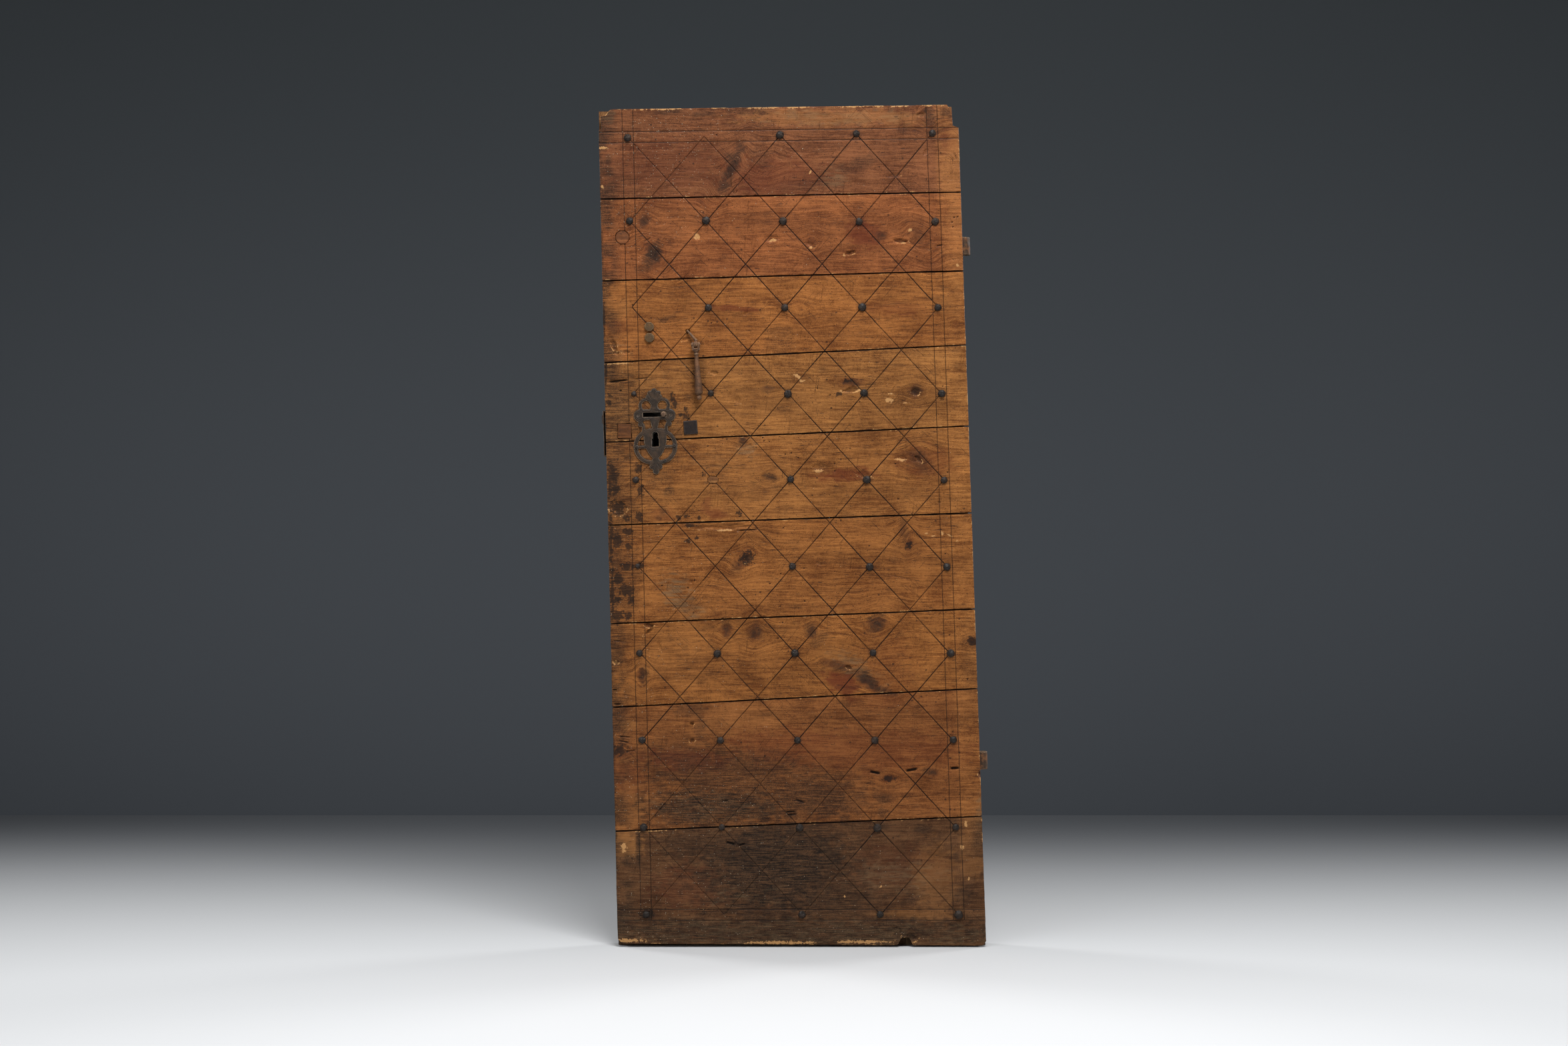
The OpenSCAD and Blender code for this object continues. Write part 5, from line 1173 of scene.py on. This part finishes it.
def filed_relief(made):
    """Files a plate's face: rims slope down to the edge, a line follows them, and the petals are ribbed."""
    mesh = made.data
    co, normal, _ = edge_field(mesh, 1.0)
    walls = co[np.abs(normal[:, 1]) < 0.6]
    rim = KDTree(len(walls))
    for i, (x, _, z) in enumerate(walls):
        rim.insert((x, 0, z), i)
    rim.balance()
    face = normal[:, 1] < -0.7
    away = np.array([rim.find((x, 0, z))[2] if on else 0 for (x, _, z), on in zip(co, face)])
    drop = RIM_DROP * (1 - smooth(away / RIM_SLOPE))
    drop = drop + INCISED_DEEP * np.exp(-((away - INCISED_IN) / INCISED_WIDTH) ** 2)
    across = (co[:, 0] - LOCK_X) * math.cos(LEAN) + (co[:, 2] - LOCK_Z) * math.sin(LEAN)
    up = (co[:, 2] - LOCK_Z) * math.cos(LEAN) - (co[:, 0] - LOCK_X) * math.sin(LEAN)
    for root, start, turns in PALMETTES:
        for turn in turns:
            way = math.cos(math.radians(turn)), math.sin(math.radians(turn))
            along = across * way[0] + (up - root) * way[1]
            beside = across * way[1] - (up - root) * way[0]
            drop = drop + RIB_DEEP * np.exp(-(beside / RIB_WIDTH) ** 2) * smooth((along - start) / 0.004)
    co[:, 1] += np.where(face, drop, 0)
    mesh.vertices.foreach_set("co", co.ravel())
    mesh.update()


plate = worn_copy("lock_plate", "filed_lock_plate", "leaf", plate_iron, 0.0007, 0.0004, 311)
filed_relief(plate)
worn_copy("plate_pins", "plate_nails", "leaf", nail_iron, 0.0007, 0.0003, 312)

# Lock: an iron case nailed to the back, with a sliding latch, a key bolt, a pin, a spring and a stay bolt.
# The case is bent from sheet and black with old oil, and the bolts are rubbed bright where they slide.
lock_iron = forged_iron("lock_case_iron", (52, 47, 44), (84, 60, 44), (120, 106, 92), 0.55)
bolt_iron = forged_iron("rubbed_bolt_iron", (92, 86, 80), (84, 66, 52), (168, 160, 150), 0.42, 0.75)


def softened(node, material, width):
    """A CAD piece kept as it is, with its edges broken where a width is given, and a better finish."""
    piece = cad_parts[node]
    piece.modifiers.new("weld", "WELD").merge_threshold = 1e-6
    if width:
        edges = piece.modifiers.new("break_edges", "BEVEL")
        edges.width, edges.segments = width, 2
        edges.limit_method, edges.angle_limit = "ANGLE", math.radians(40)
    for place in piece.material_slots:
        place.material = material


worn_copy("lock_case", "oiled_lock_case", "leaf", lock_iron, 0.0016, 0.0004, 321)
stay_bolt_iron = forged_iron("stay_bolt_iron", (34, 27, 25), (44, 34, 29), (74, 62, 54), 0.7, 0.0)
worn_copy("lock_stay_bolt", "square_stay_bolt", "leaf", stay_bolt_iron, 0.0011, 0.0004, 322)
knob_iron = forged_iron("knob_iron_worn", (88, 68, 54), (106, 78, 58), (176, 148, 120), 0.45, 0.1)
worn_copy("latch_knob", "latch_pull_knob", "latch", knob_iron, 0.0006, 0.0003, 323)
BROKEN_EDGE = 0.0006
for node in ("latch_bolt", "dead_bolt", "key_pin"):
    softened(node, bolt_iron, BROKEN_EDGE)
softened("bolt_spring", bolt_iron, 0)
softened("lock_case_nails", nail_iron, BROKEN_EDGE)

# Drop handle: a forged staple through the boards, and a tapered bar that hangs from its pin by a forked eye.
# The bar ends in a neck and a small ball, and hands have worn its rust smooth.
handle_iron = forged_iron("handle_iron_worn", (74, 51, 37), (106, 71, 47), (152, 120, 90), 0.58, 0.0)
worn_copy("handle_staple", "forged_staple", "leaf", handle_iron, 0.0007, 0.0004, 331)
worn_copy("drop_handle", "forged_drop_handle", "handle", handle_iron, 0.0007, 0.0004, 332)
worn_copy("handle_pin", "handle_hinge_pin", "handle", handle_iron, 0.0006, 0.0002, 333)

# Bolts: two octagonal heads of an older fitting, of dull iron, driven through near the lock edge.
# They stand a few millimetres proud, and their flats are beaten round.
octagon_iron = forged_iron("octagon_iron_worn", (82, 63, 43), (102, 76, 48), (122, 98, 70), 0.8, 0.0)
worn_copy("octagon_bolts", "octagon_heads", "leaf", octagon_iron, 0.0009, 0.0005, 341)

# Hinges: two long iron straps across the back, each rolled at the edge into an eye that drops on a pintle.
# They are forged flat, nailed through the planks, and rusty where the eye shows past the edge.
hinge_iron = forged_iron("hinge_iron_worn", (62, 46, 36), (122, 80, 50), (138, 112, 86), 0.66, 0.0)
worn_copy("upper_hinge", "upper_strap_hinge", "leaf", hinge_iron, 0.0015, 0.0006, 351)
worn_copy("lower_hinge", "lower_strap_hinge", "leaf", hinge_iron, 0.0015, 0.0006, 352)
worn_copy("hinge_nails", "hinge_strap_nails", "leaf", nail_iron, 0.0009, 0.0004, 353)

# Studio: a pale floor with painted shade towards the camera and behind the door, a slate backdrop, soft lamps
# above, in front and behind, and a level camera.
# The lamps are large, so shadows stay soft, and the backdrop is clear from behind, so the back shows.
CAMERA_AWAY = 5.5
SENSOR = 36.0
IMAGE_W, IMAGE_H = 2350, 1568
FLOOR_Z = LEAF_FOOT[1]
BACKDROP_PIXEL = 1222


def stage_plane(name, corners, material):
    """A flat piece of the studio."""
    mesh = bpy.data.meshes.new(name)
    mesh.from_pydata(corners, [], [(0, 1, 2, 3)])
    mesh.materials.append(material)
    made = bpy.data.objects.new(name, mesh)
    bpy.context.scene.collection.objects.link(made)
    made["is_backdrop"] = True


def lamp(name, place, aim, size, power, fan=180):
    """A soft square lamp, whose light fans out that many degrees."""
    data = bpy.data.lights.new(name, "AREA")
    data.shape, data.size, data.size_y, data.energy = "RECTANGLE", size[0], size[1], power
    data.spread = math.radians(fan)
    made = bpy.data.objects.new(name, data)
    made.location = place
    made.rotation_euler = (Vector(aim) - Vector(place)).to_track_quat("-Z", "Y").to_euler()
    bpy.context.scene.collection.objects.link(made)


def place_along(tree, axis):
    """A point's own place along one axis."""
    place = add(tree, "ShaderNodeTexCoord").outputs["Object"]
    return add(tree, "ShaderNodeSeparateXYZ", {0: place}).outputs[axis]


floor_material, floor_tree, floor_shader = new_material("pale_floor", 0.8)
floor_shader.inputs["Specular IOR Level"].default_value = 0.05
floor_depth = place_along(floor_tree, "Y")
# Painted shade: the floor's colour is darker towards the camera and far darker behind the door, standing in
# for how the lamps' light falls on it.
floor_near_shade = between(floor_tree, floor_depth, -3.2, -1.1)
floor_far_shade = between(floor_tree, floor_depth, -1.2, 2.4)
floor_colour = mixed(floor_tree, floor_near_shade, srgb(176, 177, 178), srgb(216, 217, 218))
floor_colour = mixed(floor_tree, floor_far_shade, floor_colour, srgb(79, 81, 84))
floor_tree.links.new(floor_colour, floor_shader.inputs["Base Color"])
back_material, back_tree, back_shader = new_material("slate_backdrop", 0.9)
back_height = between(back_tree, place_along(back_tree, "Z"), -0.4, 2.6)
back_colour = mixed(back_tree, back_height, srgb(68, 72, 77), srgb(32, 37, 40))
back_tree.links.new(back_colour, back_shader.inputs["Base Color"])
seen_from = add(back_tree, "ShaderNodeNewGeometry").outputs["Backfacing"]
clear = add(back_tree, "ShaderNodeBsdfTransparent").outputs[0]
open_behind = add(back_tree, "ShaderNodeMixShader", {0: seen_from, 1: back_shader.outputs[0], 2: clear})
back_tree.links.new(open_behind.outputs[0], back_tree.nodes["Material Output"].inputs["Surface"])
lens_pixels = CAMERA_AWAY / PIXEL
camera_x, camera_z = photo_x(IMAGE_W / 2), photo_z(IMAGE_H / 2)
back_y = FACE_Y - CAMERA_AWAY + lens_pixels * (camera_z - FLOOR_Z) / (BACKDROP_PIXEL - IMAGE_H / 2)
wide, deep, tall = 9.0, 9.0, 6.0
floor_corners = [(x, y, FLOOR_Z) for x, y in ((-wide, -deep), (wide, -deep), (wide, deep), (-wide, deep))]
back_corners = [(x, back_y, z) for x, z in ((-wide, FLOOR_Z), (wide, FLOOR_Z), (wide, tall), (-wide, tall))]
stage_plane("floor", floor_corners, floor_material)
stage_plane("backdrop", back_corners, back_material)
lamp("key_lamp", (0.4, -2.9, 4.3), (-0.42, 0, 0.3), (1.8, 1.2), 196)
lamp("fill_lamp", (-3.0, -4.4, 1.0), (-0.42, 0, 0.2), (2.0, 2.0), 34)
lamp("top_lamp", (-0.6, -1.5, 5.2), (-0.42, -0.6, 0), (3.0, 2.0), 136)
lamp("left_back_lamp", (-3.9, 2.0, 1.7), (-0.42, 0, 0.5), (1.2, 1.8), 30, 100)
lamp("right_back_lamp", (3.1, 2.0, 1.7), (-0.42, 0, 0.5), (1.2, 1.8), 30, 100)
world = bpy.data.worlds.new("studio")
bpy.context.scene.world = world
world.use_nodes = True
sky = world.node_tree.nodes["Background"]
sky.inputs["Color"].default_value = srgb(150, 160, 172)
sky.inputs["Strength"].default_value = 0.28
camera_data = bpy.data.cameras.new("camera")
camera_data.sensor_width = SENSOR
camera_data.lens = lens_pixels * SENSOR / IMAGE_W
camera = bpy.data.objects.new("camera", camera_data)
camera.location = (camera_x, FACE_Y - CAMERA_AWAY, camera_z)
camera.rotation_euler = (math.pi / 2, 0, 0)
bpy.context.scene.collection.objects.link(camera)
bpy.context.scene.camera = camera
bpy.context.scene.view_settings.view_transform = "Standard"

low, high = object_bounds()
